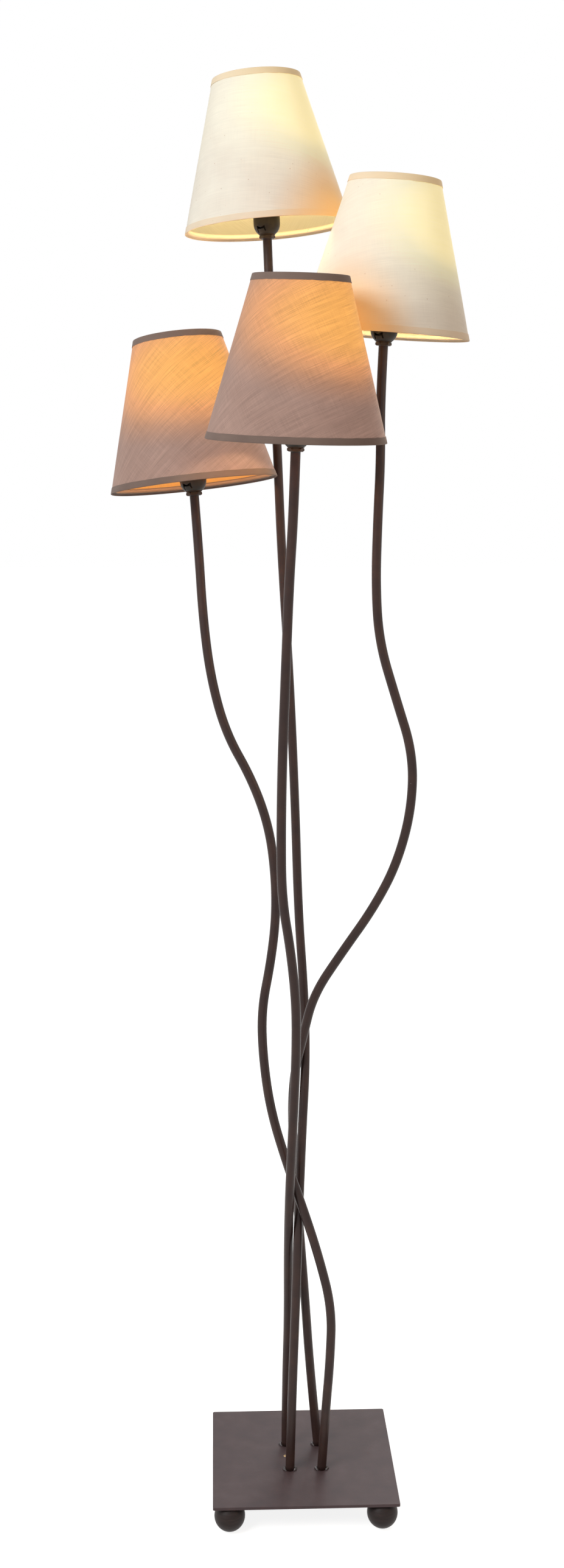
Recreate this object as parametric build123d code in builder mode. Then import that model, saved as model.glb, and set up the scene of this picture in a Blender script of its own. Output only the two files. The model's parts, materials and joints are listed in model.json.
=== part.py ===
"""A tree floor lamp: four bent steel tubes welded to a square plate on ball feet.

Each tube ends in a screw lampholder that carries a candle bulb and a tapered
fabric shade. Lengths are in millimetres, angles in degrees, and +Z is up. The
origin is on the floor, under the middle of the square base plate.
"""
from math import pi, radians, tan
import os

from build123d import *

# ---------------------------------------------------------------- base plate
plate_side = 200.0
plate_thickness = 3.0
plate_corner_radius = 2.0
plate_edge_break = 0.4

# ---------------------------------------------------------------- ball feet
foot_diameter = 33.0
foot_height = 30.2            # floor to the underside of the plate
foot_inset_x = 18.0           # plate edge to the middle of a foot
foot_inset_y = 14.5
stud_diameter = 6.0
stud_length = 14.0
stud_gap = 0.05               # round a stud, in its foot
stud_tip_gap = 1.0
stud_tip_chamfer = 0.75
foot_flat = 0.8               # how far the flat under a foot is off the floor
pad_diameter = 8.8
pad_recess = 1.6
pad_gap = 0.1

# ---------------------------------------------------------------- steel tubes
tube_diameter = 10.0
tube_wall = 1.0
tube_straight = 62.0          # straight stretch below each lampholder
tube_entry = 8.0              # how far a tube's threaded end reaches into its cap
bend_share = 0.45             # part of the shorter run that a bend may use
tack_radius = 2.7             # blobs of weld at the foot of each tube
tack_rise = 0.6

# Each arm: where its tube stands on the plate, the corners of its route (height
# above the plate), the seat of its lampholder, how far the lampholder leans
# towards +X and +Y, and how far the wire of its shade is bent towards +X.
arms = {
    "high": {
        "stands_at": (-15, -27),
        "route": [
            (-13, -27, 75), (-10, -25, 155), (-7, -21, 235), (-4, -8, 305),
            (0, 11, 375), (5, 32, 445), (4, 50, 515), (-2, 67, 605), (-5, 80, 725),
            (-11, 86, 865), (-20, 85, 1005), (-25, 81, 1125), (-30, 76, 1215),
        ],
        "seat": (-36, 72, 1349),
        "lean": (-2.3, 0.5),
        "shade_lean": -2.2,
    },
    "right": {
        "stands_at": (18.5, 24),
        "route": [
            (10, 26, 85), (4, 28, 175), (-3, 30, 265), (-10, 30, 355), (-10, 26, 425),
            (1, 20, 475), (12, 12, 525), (43, 4, 575), (76, -4, 625), (101, -8, 675),
            (116, -11, 735), (117, -12, 795), (98, -13, 855), (80, -12, 915),
            (76, -11, 975), (78, -9, 1045), (81, -7, 1110),
        ],
        "seat": (83, -10, 1230),
        "lean": (2.8, -2.1),
        "shade_lean": 1.2,
    },
    "front": {
        "stands_at": (-17.5, 24.5),
        "route": [
            (-17, 24, 75), (-15, 17, 155), (-16, -1, 235), (-16, -32, 315),
            (-13, -48, 395), (-10, -58, 475), (-10, -65, 535), (-16, -72, 595),
            (-26, -79, 655), (-27, -87, 725), (-26, -96, 805), (-23, -107, 895),
            (-20, -117, 985),
        ],
        "seat": (-14, -128, 1119),
        "lean": (1.6, -3.5),
        "shade_lean": 0.0,
    },
    "left": {
        "stands_at": (20, -27),
        "route": [
            (24, -28, 65), (29, -28, 125), (31, -27, 185), (16, -25, 245), (0, -22, 295),
            (-18, -17, 345), (-36, -12, 405), (-44, -7, 465), (-45, -3, 515),
            (-35, 0, 565), (-29, 3, 615), (-30, 6, 665), (-37, 9, 715), (-55, 12, 765),
            (-83, 16, 815), (-99, 21, 875), (-107, 26, 940),
        ],
        "seat": (-116, 36, 1074),
        "lean": (-4.5, 4.0),
        "shade_lean": -1.9,
    },
}

# ---------------------------------------------------------------- lock nuts
nut_across_flats = 15.0
nut_height = 4.0
nut_washer_diameter = 17.4
nut_washer_height = 1.0
thread_gap = 0.05             # round a tube's threaded end

# ---------------------------------------------------------------- lampholders
# Heights in a lampholder are measured up its axis from its seat on the nut.
cap_foot_diameter = 18.5
cap_diameter = 28.6
cap_dome_height = 12.0
cap_height = 17.0
cap_wall = 1.6
cap_floor = 3.0
cap_boss_wall = 2.6
cap_bulge = 1.5               # how far the bowl swells out of a straight cone
catch_angle = 237.0           # direction of one catch's window, seen from above
catch_count = 2
catch_foot = 0.9              # cap's foot to the foot of a window
catch_width = 10.2
catch_rise = 7.6              # height of a window at its two sides
catch_dip = 2.3               # how much lower it is in the middle
catch_cut = 1.3               # width of the cut round a catch
body_gap = 0.1                # between the body's spigot and the cap
body_spigot = 3.0
flange_diameter = 35.0
flange_height = 30.0          # underside of the flange that the shade sits on
flange_thickness = 2.0
skirt_diameter = 27.6         # outside of the thread that the collar runs on
skirt_top = 45.0
thread_depth = 0.6
thread_pitch = 2.0
body_floor = 9.0              # thickness under the lamp socket
contact_bore = 3.4

# ---------------------------------------------------------------- lamp socket
shell_bore = 14.3             # brass screw shell, inside
shell_wall = 0.5
shell_gap = 0.05
shell_lift = 1.0              # shell's foot above the socket floor
contact_diameter = 5.0
contact_head = 1.8
contact_lift = 0.2            # contact's head above the socket floor
contact_stem = 2.4
contact_stem_gap = 1.0        # stem's foot above the body's foot
contact_edge_break = 0.5

# ---------------------------------------------------------------- shade collar
collar_diameter = 34.0
collar_height = 6.0
collar_gap = 0.25             # round the thread
collar_flutes = 24
flute_radius = 1.0

# ---------------------------------------------------------------- shade frame
hub_outer_diameter = 39.0
hub_thickness = 1.6
hub_gap = 0.5                 # round the thread
hub_end_gap = 0.3             # above the flange and below the collar
wire_diameter = 2.5
spoke_count = 3
spoke_first_angle = 90.0
wire_inset = 3.4              # shade rim to the middle of the wire in it
wire_gap = 0.1                # between a wire and the fabric

# ---------------------------------------------------------------- fabric shade
shade_bottom_diameter = 180.0
shade_top_diameter = 95.0
shade_height = 160.0
shade_wall = 0.8
shade_drop = 5.5              # how far the shade's lower rim is above the seat
hem_thickness = 0.4
hem_width = 7.0
hem_return = 1.6              # width of the hem's edge inside the shade
hem_return_thickness = 0.1

# ---------------------------------------------------------------- bulb
bulb_diameter = 35.0
bulb_length = 100.0           # contact to tip
bulb_cap_diameter = 13.8
bulb_cap_height = 21.0        # contact to the glass
bulb_thread_pitch = 2.82
bulb_thread_depth = 0.5
eyelet_diameter = 4.8
eyelet_height = 1.0
insulator_height = 3.5
glass_wall = 0.8
glass_neck_diameter = 12.8
belly_height = 31.0           # glass neck to the widest place
shoulder_diameter = 23.8      # of the glass, where it turns in to its tip
shoulder_lift = 2.0           # shoulder above halfway from the belly to the tip

# ---------------------------------------------------------------- wiring
lead_diameter = 4.4
lead_bend = 6.5
block_length = 44.0
block_width = 18.0
block_height = 12.0
block_ways = 5
block_pitch = 8.0
block_bore = 4.0
block_groove = 1.2            # width of the grooves between its ways
block_round = 1.0
wire_hole_diameter = 8.0      # through the plate, under each tube
box_length = 96.0
box_width = 74.0
box_height = 22.0
box_wall = 2.0
box_boss_diameter = 9.0
box_screw_inset = 8.0         # box end to the middle of a screw
box_screw_diameter = 4.0
box_screw_head = 7.5
box_screw_head_height = 2.4
box_screw_cross = 4.5         # length of the cross recess in its head
box_screw_slot = 1.0
box_screw_gap = 0.2
box_screw_grip = 2.2          # thread held by the plate
gland_bore = 6.6
gland_body = 10.0
gland_flange = 15.0
gland_flange_thickness = 2.5
gland_lip = 1.0               # what holds it behind the wall of the box
gland_gap = 0.05
gland_height = 18.0           # middle of the inlet above the floor
earth_at = (-19, 1)
earth_screw_diameter = 4.0
earth_screw_head = 8.0
earth_screw_head_height = 2.6
earth_screw_length = 6.0
earth_screw_gap = 0.1
earth_screw_tip_chamfer = 0.5

# ---------------------------------------------------------------- worked out
plate_top = foot_height + plate_thickness
tube_radius = tube_diameter / 2
tube_bore_radius = tube_radius - tube_wall
foot_x = plate_side / 2 - foot_inset_x
foot_y = plate_side / 2 - foot_inset_y
foot_places = [(x, y) for x in (-foot_x, foot_x) for y in (-foot_y, foot_y)]
body_bottom = cap_height - body_spigot
socket_floor = body_bottom + body_floor
contact_top = socket_floor + contact_lift + contact_head
hub_bottom = flange_height + flange_thickness + hub_end_gap
hub_middle = hub_bottom + hub_thickness / 2
collar_bottom = hub_bottom + hub_thickness + hub_end_gap
box_bottom = foot_height - box_height
block_bottom = box_bottom + box_wall
lead_level = block_bottom + block_height / 2
shade_slope = (shade_bottom_diameter - shade_top_diameter) / 2 / shade_height

os.makedirs("parts", exist_ok=True)


def save(piece, name):
    """Label a finished piece and write it as one STEP file."""
    piece.part.label = name
    export_step(piece.part, f"parts/{name}.step")


# ---------------------------------------------------------------- arm geometry
class Head:
    """Where one arm's lampholder and shade are, and which way they lean."""

    def __init__(self, arm):
        x, y, height = arm["seat"]
        lean_x, lean_y = arm["lean"]
        shade_lean_x = lean_x + arm["shade_lean"]
        self.seat = Vector(x, y, plate_top + height)
        self.up = Vector(tan(radians(lean_x)), tan(radians(lean_y)), 1).normalized()
        self.side = (Vector(1, 0, 0) - self.up * self.up.X).normalized()
        self.axis = Axis(self.seat, self.up)
        self.hub = self.at(hub_middle)
        self.shade_up = Vector(
            tan(radians(shade_lean_x)), tan(radians(lean_y)), 1
        ).normalized()
        self.shade_side = (Vector(1, 0, 0) - self.shade_up * self.shade_up.X).normalized()
        self.shade_foot = self.hub - self.shade_up * (hub_middle - shade_drop)
        self.shade_axis = Axis(self.shade_foot, self.shade_up)

    def at(self, height):
        """A point on the lampholder's axis, at a height above its seat."""
        return self.seat + self.up * height

    def level(self, height):
        """A plane across the lampholder's axis."""
        return Plane(origin=self.at(height), x_dir=self.side, z_dir=self.up)

    def half_section(self):
        """A plane holding the axis: x is the radius and y the height."""
        return Plane(origin=self.seat, x_dir=self.side, z_dir=self.side.cross(self.up))

    def shade_level(self, height):
        """A plane across the shade's axis, at a height above its lower rim."""
        foot = self.shade_foot + self.shade_up * height
        return Plane(origin=foot, x_dir=self.shade_side, z_dir=self.shade_up)

    def shade_half_section(self):
        """A plane holding the shade's axis: x is the radius and y the height."""
        return Plane(
            origin=self.shade_foot,
            x_dir=self.shade_side,
            z_dir=self.shade_side.cross(self.shade_up),
        )


def bend_radii(points):
    """The largest bend that each corner's two runs leave room for."""
    radii = []
    for before, corner, after in zip(points, points[1:], points[2:]):
        turn = radians((corner - before).get_angle(after - corner))
        shorter = min((corner - before).length, (after - corner).length)
        radii.append(bend_share * shorter / tan(turn / 2))
    return radii


def tube_points(arm, head):
    """The corners of an arm's route, from the plate to inside its lampholder."""
    x, y = arm["stands_at"]
    points = [Vector(x, y, plate_top)]
    points += [Vector(x, y, plate_top + height) for x, y, height in arm["route"]]
    points += [head.at(-tube_straight), head.at(tube_entry)]
    return points


def solid_of_revolution(plane, axis, outline):
    """A closed half section, turned round its axis."""
    with BuildPart() as turned:
        with BuildSketch(plane):
            with BuildLine():
                Polyline(*outline, close=True)
            make_face()
        revolve(axis=axis)
    return turned


# ---------------------------------------------------------------- base pieces
def make_base_plate():
    hole_places = [arm["stands_at"] for arm in arms.values()]
    screw_x = box_length / 2 - box_screw_inset
    with BuildPart() as plate:
        with BuildSketch(Plane.XY.offset(foot_height)):
            RectangleRounded(plate_side, plate_side, plate_corner_radius)
        extrude(amount=plate_thickness)
        rim = plate.faces().sort_by(Axis.Z)[-1].edges()
        chamfer(rim, plate_edge_break)
        with BuildSketch(Plane.XY.offset(foot_height)):
            with Locations(*hole_places):
                Circle(wire_hole_diameter / 2)
            with Locations(earth_at):
                Circle(earth_screw_diameter / 2 + earth_screw_gap)
        extrude(amount=plate_thickness, mode=Mode.SUBTRACT)
        with BuildSketch(Plane.XY.offset(foot_height)):
            with Locations((-screw_x, 0), (screw_x, 0)):
                Circle(box_screw_diameter / 2)
        extrude(amount=box_screw_grip, mode=Mode.SUBTRACT)
    return plate


def make_ball_foot(x, y):
    middle = foot_diameter / 2
    with BuildPart() as foot:
        with Locations((x, y, middle)):
            Sphere(middle)
        split(bisect_by=Plane.XY.offset(foot_height), keep=Keep.BOTTOM)
        split(bisect_by=Plane.XY.offset(foot_flat), keep=Keep.TOP)
        with BuildSketch(Plane.XY.offset(foot_height)):
            with Locations((x, y)):
                Circle(stud_diameter / 2 + stud_gap)
        extrude(amount=-(stud_length + stud_tip_gap), mode=Mode.SUBTRACT)
        with BuildSketch(Plane.XY.offset(foot_flat)):
            with Locations((x, y)):
                Circle(pad_diameter / 2 + pad_gap)
        extrude(amount=pad_recess, mode=Mode.SUBTRACT)
    return foot


def make_foot_studs():
    with BuildPart() as studs:
        with BuildSketch(Plane.XY.offset(foot_height)):
            with Locations(*foot_places):
                Circle(stud_diameter / 2)
        extrude(amount=-stud_length)
        tips = studs.faces().sort_by(Axis.Z)[: len(foot_places)]
        chamfer(tips.edges(), stud_tip_chamfer)
    return studs


def make_foot_pads():
    with BuildPart() as pads:
        with BuildSketch():
            with Locations(*foot_places):
                Circle(pad_diameter / 2)
        extrude(amount=foot_flat + pad_recess)
    return pads


def make_junction_box():
    screw_x = box_length / 2 - box_screw_inset
    with BuildPart() as box:
        with BuildSketch(Plane.XY.offset(box_bottom)):
            RectangleRounded(box_length, box_width, 2 * box_wall)
        extrude(amount=box_height)
        with BuildSketch(Plane.XY.offset(box_bottom + box_wall)):
            RectangleRounded(
                box_length - 2 * box_wall, box_width - 2 * box_wall, box_wall
            )
        extrude(amount=box_height - box_wall, mode=Mode.SUBTRACT)
        with BuildSketch(Plane.XY.offset(box_bottom)):
            with Locations((-screw_x, 0), (screw_x, 0)):
                Circle(box_boss_diameter / 2)
        extrude(amount=box_height)
        with BuildSketch(Plane.XY.offset(box_bottom)):
            with Locations((-screw_x, 0), (screw_x, 0)):
                Circle(box_screw_diameter / 2 + box_screw_gap)
        extrude(amount=box_height, mode=Mode.SUBTRACT)
        with BuildSketch(Plane.XZ.offset(-box_width / 2)):
            with Locations((0, gland_height)):
                Circle(gland_body / 2 + gland_gap)
        extrude(amount=box_wall, mode=Mode.SUBTRACT)
    return box


def make_box_screws():
    screw_x = box_length / 2 - box_screw_inset
    places = [(-screw_x, 0), (screw_x, 0)]
    with BuildPart() as screws:
        with BuildSketch(Plane.XY.offset(box_bottom)):
            with Locations(*places):
                Circle(box_screw_head / 2)
        extrude(amount=-box_screw_head_height)
        fillet(screws.edges().group_by(Axis.Z)[0], box_screw_head_height / 2)
        with BuildSketch(Plane.XY.offset(box_bottom)):
            with Locations(*places):
                Circle(box_screw_diameter / 2)
        extrude(amount=box_height + box_screw_grip)
        with BuildSketch(Plane.XY.offset(box_bottom - box_screw_head_height)):
            with Locations(*places):
                Rectangle(box_screw_cross, box_screw_slot)
                Rectangle(box_screw_slot, box_screw_cross)
        extrude(amount=box_screw_head_height / 2, mode=Mode.SUBTRACT)
    return screws


def make_terminal_block():
    with BuildPart() as block:
        with BuildSketch(Plane.XY.offset(block_bottom)):
            Rectangle(block_length, block_width)
        extrude(amount=block_height)
        fillet(block.edges().filter_by(Axis.Z), block_round)
        with BuildSketch(Plane.XY.offset(block_bottom + block_height)):
            with GridLocations(block_pitch, block_width / 2, block_ways, 2):
                Circle(block_bore / 2)
        extrude(amount=-block_height / 2, mode=Mode.SUBTRACT)
        with BuildSketch(Plane.XY.offset(block_bottom + block_height)):
            with GridLocations(block_pitch, block_width, block_ways - 1, 1):
                Rectangle(block_groove, block_width)
        extrude(amount=-block_height / 4, mode=Mode.SUBTRACT)
    return block


def make_cord_gland():
    outer_face = box_width / 2
    plane = Plane(origin=(0, outer_face, gland_height), x_dir=(1, 0, 0), z_dir=(0, 0, 1))
    bore = gland_bore / 2
    body = gland_body / 2
    flange = gland_flange / 2
    outline = [
        (bore, -box_wall - gland_flange_thickness),
        (body + gland_lip, -box_wall - gland_flange_thickness),
        (body + gland_lip, -box_wall),
        (body, -box_wall),
        (body, 0),
        (flange, 0),
        (flange, gland_flange_thickness / 2),
        (flange - gland_lip, gland_flange_thickness),
        (bore, gland_flange_thickness),
    ]
    return solid_of_revolution(plane, Axis((0, 0, gland_height), (0, 1, 0)), outline)


def make_earth_screw():
    shank = earth_screw_length - earth_screw_head_height
    with BuildPart() as screw:
        with BuildSketch(Plane.XY.offset(foot_height)):
            with Locations(earth_at):
                RegularPolygon(earth_screw_head / 2, 6)
        extrude(amount=-earth_screw_head_height)
        with BuildSketch(Plane.XY.offset(foot_height)):
            with Locations(earth_at):
                Circle(earth_screw_diameter / 2)
        extrude(amount=shank)
        chamfer(screw.faces().sort_by(Axis.Z)[-1].edges(), earth_screw_tip_chamfer)
    return screw


# ---------------------------------------------------------------- tubes
def make_tube(arm, head):
    points = tube_points(arm, head)
    start = points[0] - (points[1] - points[0]).normalized() * tube_radius
    with BuildPart() as tube:
        with BuildLine() as route:
            FilletPolyline(start, *points[1:], radius=bend_radii([start] + points[1:]))
        with BuildSketch(Plane(origin=start, z_dir=route.wires()[0] % 0)):
            Circle(tube_radius)
            Circle(tube_bore_radius, mode=Mode.SUBTRACT)
        sweep(path=route.wires()[0])
        split(bisect_by=Plane.XY.offset(plate_top), keep=Keep.TOP)
    section = pi * (tube_radius**2 - tube_bore_radius**2)
    length = route.wires()[0].length
    print(
        f"  tube {length:.0f} mm long, smallest bend {min(bend_radii(points)):.0f} mm,",
        f"volume {tube.part.volume / (section * length):.4f} of section x length",
    )
    return tube


def make_weld_tacks():
    """Two blobs of weld to each tube, at its left and right sides."""
    with BuildPart() as tacks:
        for arm in arms.values():
            x, y = arm["stands_at"]
            for side in (-1, 1):
                with Locations((x + side * tube_radius, y, plate_top + tack_rise)):
                    Sphere(tack_radius)
        split(bisect_by=Plane.XY.offset(plate_top), keep=Keep.TOP)
        for arm in arms.values():
            x, y = arm["stands_at"]
            first = Vector(*arm["route"][0]) - Vector(x, y, 0)
            with BuildSketch(Plane(origin=(x, y, plate_top), z_dir=first)):
                Circle(tube_radius)
            extrude(amount=2 * tube_radius, both=True, mode=Mode.SUBTRACT)
    return tacks


def make_lock_nuts(heads):
    with BuildPart() as nuts:
        for head in heads.values():
            with BuildSketch(head.level(-nut_washer_height)):
                Circle(nut_washer_diameter / 2)
            extrude(amount=nut_washer_height)
            with BuildSketch(head.level(-nut_washer_height)):
                RegularPolygon(nut_across_flats / 2, 6, major_radius=False)
            extrude(amount=-nut_height)
            with BuildSketch(head.level(0)):
                Circle(tube_radius + thread_gap)
            extrude(amount=-(nut_height + nut_washer_height), mode=Mode.SUBTRACT)
    return nuts


def make_inner_leads(heads):
    """The sheathed lead in each tube, from the terminal block to the lampholder."""
    block_face = block_width / 2
    with BuildPart() as leads:
        for name, arm in arms.items():
            head = heads[name]
            points = tube_points(arm, head)
            x, y = arm["stands_at"]
            towards = 1 if y > 0 else -1
            below = Vector(x, y, lead_level)
            points = [Vector(x, towards * block_face, lead_level), below] + points
            points[-1] = head.at(body_bottom)
            radii = bend_radii(points)
            radii[0] = min(lead_bend, radii[0])
            with BuildLine() as route:
                FilletPolyline(*points, radius=radii)
            with BuildSketch(Plane(origin=points[0], z_dir=route.wires()[0] % 0)):
                Circle(lead_diameter / 2)
            sweep(path=route.wires()[0])
    return leads


# ---------------------------------------------------------------- lampholders
def catch_plane(head, angle):
    """A plane in a cap that faces a window: x goes round the cap and y up it."""
    outwards = head.side.rotate(head.axis, angle)
    boss = tube_radius + thread_gap + cap_boss_wall + catch_cut / 2
    return Plane(
        origin=head.at(catch_foot) + outwards * boss,
        x_dir=head.up.cross(outwards),
        z_dir=outwards,
    )


def catch_outline():
    """The cut round a catch, in the shape of a letter M."""
    half = catch_width / 2
    inner = half - catch_cut
    return [
        (-half, 0),
        (-half, catch_rise),
        (0, catch_rise - catch_dip),
        (half, catch_rise),
        (half, 0),
        (inner, 0),
        (inner, catch_rise - 2 * catch_cut),
        (0, catch_rise - catch_dip - catch_cut),
        (-inner, catch_rise - 2 * catch_cut),
        (-inner, 0),
    ]


def make_holder_cap(head):
    foot = cap_foot_diameter / 2
    rim = cap_diameter / 2
    inner_rim = rim - cap_wall
    inner_foot = foot - cap_wall / 2
    bore = tube_radius + thread_gap
    boss = bore + cap_boss_wall
    with BuildPart() as cap:
        with BuildSketch(head.half_section()):
            with BuildLine():
                Line((bore, 0), (foot, 0))
                SagittaArc((foot, 0), (rim, cap_dome_height), -cap_bulge)
                Line((rim, cap_dome_height), (rim, cap_height))
                Line((rim, cap_height), (inner_rim, cap_height))
                Line((inner_rim, cap_height), (inner_rim, cap_dome_height))
                SagittaArc((inner_rim, cap_dome_height), (inner_foot, cap_floor), cap_bulge)
                Line((inner_foot, cap_floor), (boss, cap_floor))
                Line((boss, cap_floor), (boss, tube_entry))
                Line((boss, tube_entry), (bore, tube_entry))
                Line((bore, tube_entry), (bore, 0))
            make_face()
        revolve(axis=head.axis)
        for i in range(catch_count):
            with BuildSketch(catch_plane(head, catch_angle + i * 360 / catch_count)):
                with BuildLine():
                    Polyline(*catch_outline(), close=True)
                make_face()
            extrude(amount=cap_diameter, mode=Mode.SUBTRACT)
    return cap


def make_holder_body(head):
    spigot = cap_diameter / 2 - cap_wall - body_gap
    skirt = skirt_diameter / 2
    shell_seat = shell_bore / 2 + shell_wall + shell_gap
    flange_top = flange_height + flange_thickness
    outline = [
        (contact_bore / 2, body_bottom),
        (spigot, body_bottom),
        (spigot, cap_height),
        (cap_diameter / 2, cap_height),
        (cap_diameter / 2, flange_height),
        (flange_diameter / 2, flange_height),
        (flange_diameter / 2, flange_top),
        (skirt, flange_top),
    ]
    height = flange_top + thread_pitch
    while height + thread_pitch < skirt_top:
        outline += [
            (skirt, height),
            (skirt - thread_depth, height + thread_pitch / 4),
            (skirt - thread_depth, height + thread_pitch / 2),
            (skirt, height + thread_pitch * 3 / 4),
        ]
        height += thread_pitch
    outline += [
        (skirt, skirt_top - thread_depth),
        (skirt - thread_depth, skirt_top),
        (shell_seat, skirt_top),
        (shell_seat, socket_floor),
        (contact_bore / 2, socket_floor),
    ]
    return solid_of_revolution(head.half_section(), head.axis, outline)


def make_screw_shells(heads):
    with BuildPart() as shells:
        for head in heads.values():
            with BuildSketch(head.level(socket_floor + shell_lift)):
                Circle(shell_bore / 2 + shell_wall)
                Circle(shell_bore / 2, mode=Mode.SUBTRACT)
            extrude(amount=skirt_top - socket_floor - shell_lift)
    return shells


def make_centre_contact(head):
    outline = [
        (0, body_bottom + contact_stem_gap),
        (contact_stem / 2, body_bottom + contact_stem_gap),
        (contact_stem / 2, socket_floor + contact_lift),
        (contact_diameter / 2, socket_floor + contact_lift),
        (contact_diameter / 2, contact_top - contact_edge_break),
        (contact_diameter / 2 - contact_edge_break, contact_top),
        (0, contact_top),
    ]
    return solid_of_revolution(head.half_section(), head.axis, outline)


def make_shade_collar(head):
    with BuildPart() as collar:
        with BuildSketch(head.level(collar_bottom)):
            Circle(collar_diameter / 2)
            with PolarLocations(collar_diameter / 2, collar_flutes):
                Circle(flute_radius, mode=Mode.SUBTRACT)
            Circle(skirt_diameter / 2 + collar_gap, mode=Mode.SUBTRACT)
        extrude(amount=collar_height)
    return collar


# ---------------------------------------------------------------- shades
def fabric_radius(height):
    """Outside of the fabric, at a height above the shade's lower rim."""
    return shade_bottom_diameter / 2 - hem_thickness - shade_slope * height


def wire_ring_radius(height):
    """Middle of a wire that lies just inside the fabric."""
    return fabric_radius(height) - shade_wall - wire_gap - wire_diameter / 2


def make_shade_fitter(head):
    """The hub that the collar clamps, its spokes, and the lower wire ring."""
    ring_radius = wire_ring_radius(wire_inset)
    spoke_root = hub_outer_diameter / 2 - wire_diameter / 2
    step = 360 / spoke_count
    angles = [spoke_first_angle + step * i for i in range(spoke_count)]
    with BuildPart() as fitter:
        with BuildSketch(head.level(hub_bottom)):
            Circle(hub_outer_diameter / 2)
            Circle(skirt_diameter / 2 + hub_gap, mode=Mode.SUBTRACT)
        extrude(amount=hub_thickness)
        with Locations(head.shade_level(wire_inset)):
            Torus(ring_radius, wire_diameter / 2)
        for angle in angles:
            spot = Vector(1, 0, 0).rotate(Axis.Z, angle)
            inner = head.level(hub_middle).from_local_coords(spot * spoke_root)
            outer = head.shade_level(wire_inset).from_local_coords(spot * ring_radius)
            with BuildLine() as spoke:
                Line(inner, outer)
            with BuildSketch(Plane(origin=inner, z_dir=outer - inner)):
                Circle(wire_diameter / 2)
            sweep(path=spoke.wires()[0])
    return fitter


def make_top_wire(head):
    height = shade_height - wire_inset
    with BuildPart() as wire:
        with Locations(head.shade_level(height)):
            Torus(wire_ring_radius(height), wire_diameter / 2)
    return wire


def make_shade(head):
    low = hem_thickness
    high = shade_height - hem_thickness
    outline = [
        (fabric_radius(low) - shade_wall, low),
        (fabric_radius(low), low),
        (fabric_radius(high), high),
        (fabric_radius(high) - shade_wall, high),
    ]
    return solid_of_revolution(head.shade_half_section(), head.shade_axis, outline)


def make_shade_hems(head):
    """A tape folded over each rim of the shade."""
    with BuildPart() as hems:
        for rim, inward in ((0, 1), (shade_height, -1)):
            edge = rim + inward * hem_thickness
            outside = rim + inward * hem_width
            inside = rim + inward * hem_return
            proud = hem_thickness
            outline = [
                (fabric_radius(rim) + proud, rim),
                (fabric_radius(outside) + proud, outside),
                (fabric_radius(outside), outside),
                (fabric_radius(edge), edge),
                (fabric_radius(edge) - shade_wall, edge),
                (fabric_radius(inside) - shade_wall, inside),
                (fabric_radius(inside) - shade_wall - hem_return_thickness, inside),
                (fabric_radius(rim) - shade_wall - hem_return_thickness, rim),
            ]
            with BuildSketch(head.shade_half_section()):
                with BuildLine():
                    Polyline(*outline, close=True)
                make_face()
            revolve(axis=head.shade_axis)
    return hems


# ---------------------------------------------------------------- bulbs
def make_bulb_cap(head):
    eyelet = eyelet_diameter / 2
    shell = bulb_cap_diameter / 2
    top = contact_top + bulb_cap_height
    shell_foot = contact_top + insulator_height
    outline = [
        (0, contact_top),
        (eyelet, contact_top),
        (eyelet, contact_top + eyelet_height),
        (shell - bulb_thread_depth, shell_foot),
    ]
    height = shell_foot
    while height + bulb_thread_pitch < top - bulb_thread_pitch / 2:
        outline += [
            (shell - bulb_thread_depth, height + bulb_thread_pitch * 0.2),
            (shell, height + bulb_thread_pitch * 0.5),
            (shell, height + bulb_thread_pitch * 0.6),
            (shell - bulb_thread_depth, height + bulb_thread_pitch * 0.9),
        ]
        height += bulb_thread_pitch
    outline += [
        (shell - bulb_thread_depth, top),
        (0, top),
    ]
    return solid_of_revolution(head.half_section(), head.axis, outline)


def make_bulb_glass(head):
    """A candle-shaped envelope, open at the neck where its cap closes it."""
    neck_height = contact_top + bulb_cap_height
    tip_height = contact_top + bulb_length
    belly = neck_height + belly_height

    def half_profile(inset):
        """From the neck round the belly to the tip, this far inside the outline."""
        shoulder = (tip_height + belly) / 2 + shoulder_lift
        return [
            (glass_neck_diameter / 2 - inset, neck_height),
            (bulb_diameter / 2 - inset, belly),
            (shoulder_diameter / 2 - inset, shoulder),
            (0, tip_height - inset),
        ]

    with BuildPart() as glass:
        with BuildSketch(head.half_section()):
            with BuildLine():
                outer = half_profile(0)
                inner = half_profile(glass_wall)
                Spline(*outer, tangents=[(0.35, 1), (-1, 0.25)])
                Line(outer[-1], inner[-1])
                Spline(*inner, tangents=[(0.35, 1), (-1, 0.25)])
                Line(inner[0], outer[0])
            make_face()
        revolve(axis=head.axis)
    return glass


# ---------------------------------------------------------------- the lamp
heads = {name: Head(arm) for name, arm in arms.items()}

save(make_base_plate(), "base_plate")
save(make_weld_tacks(), "weld_tacks")
for x, y in foot_places:
    depth_word = "front" if y < 0 else "rear"
    side_word = "left" if x < 0 else "right"
    save(make_ball_foot(x, y), f"{depth_word}_{side_word}_foot")
save(make_foot_studs(), "foot_studs")
save(make_foot_pads(), "foot_pads")
save(make_junction_box(), "junction_box")
save(make_box_screws(), "box_screws")
save(make_terminal_block(), "terminal_block")
save(make_cord_gland(), "cord_gland")
save(make_earth_screw(), "earth_screw")
save(make_lock_nuts(heads), "lock_nuts")
save(make_inner_leads(heads), "inner_leads")
save(make_screw_shells(heads), "screw_shells")

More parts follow.
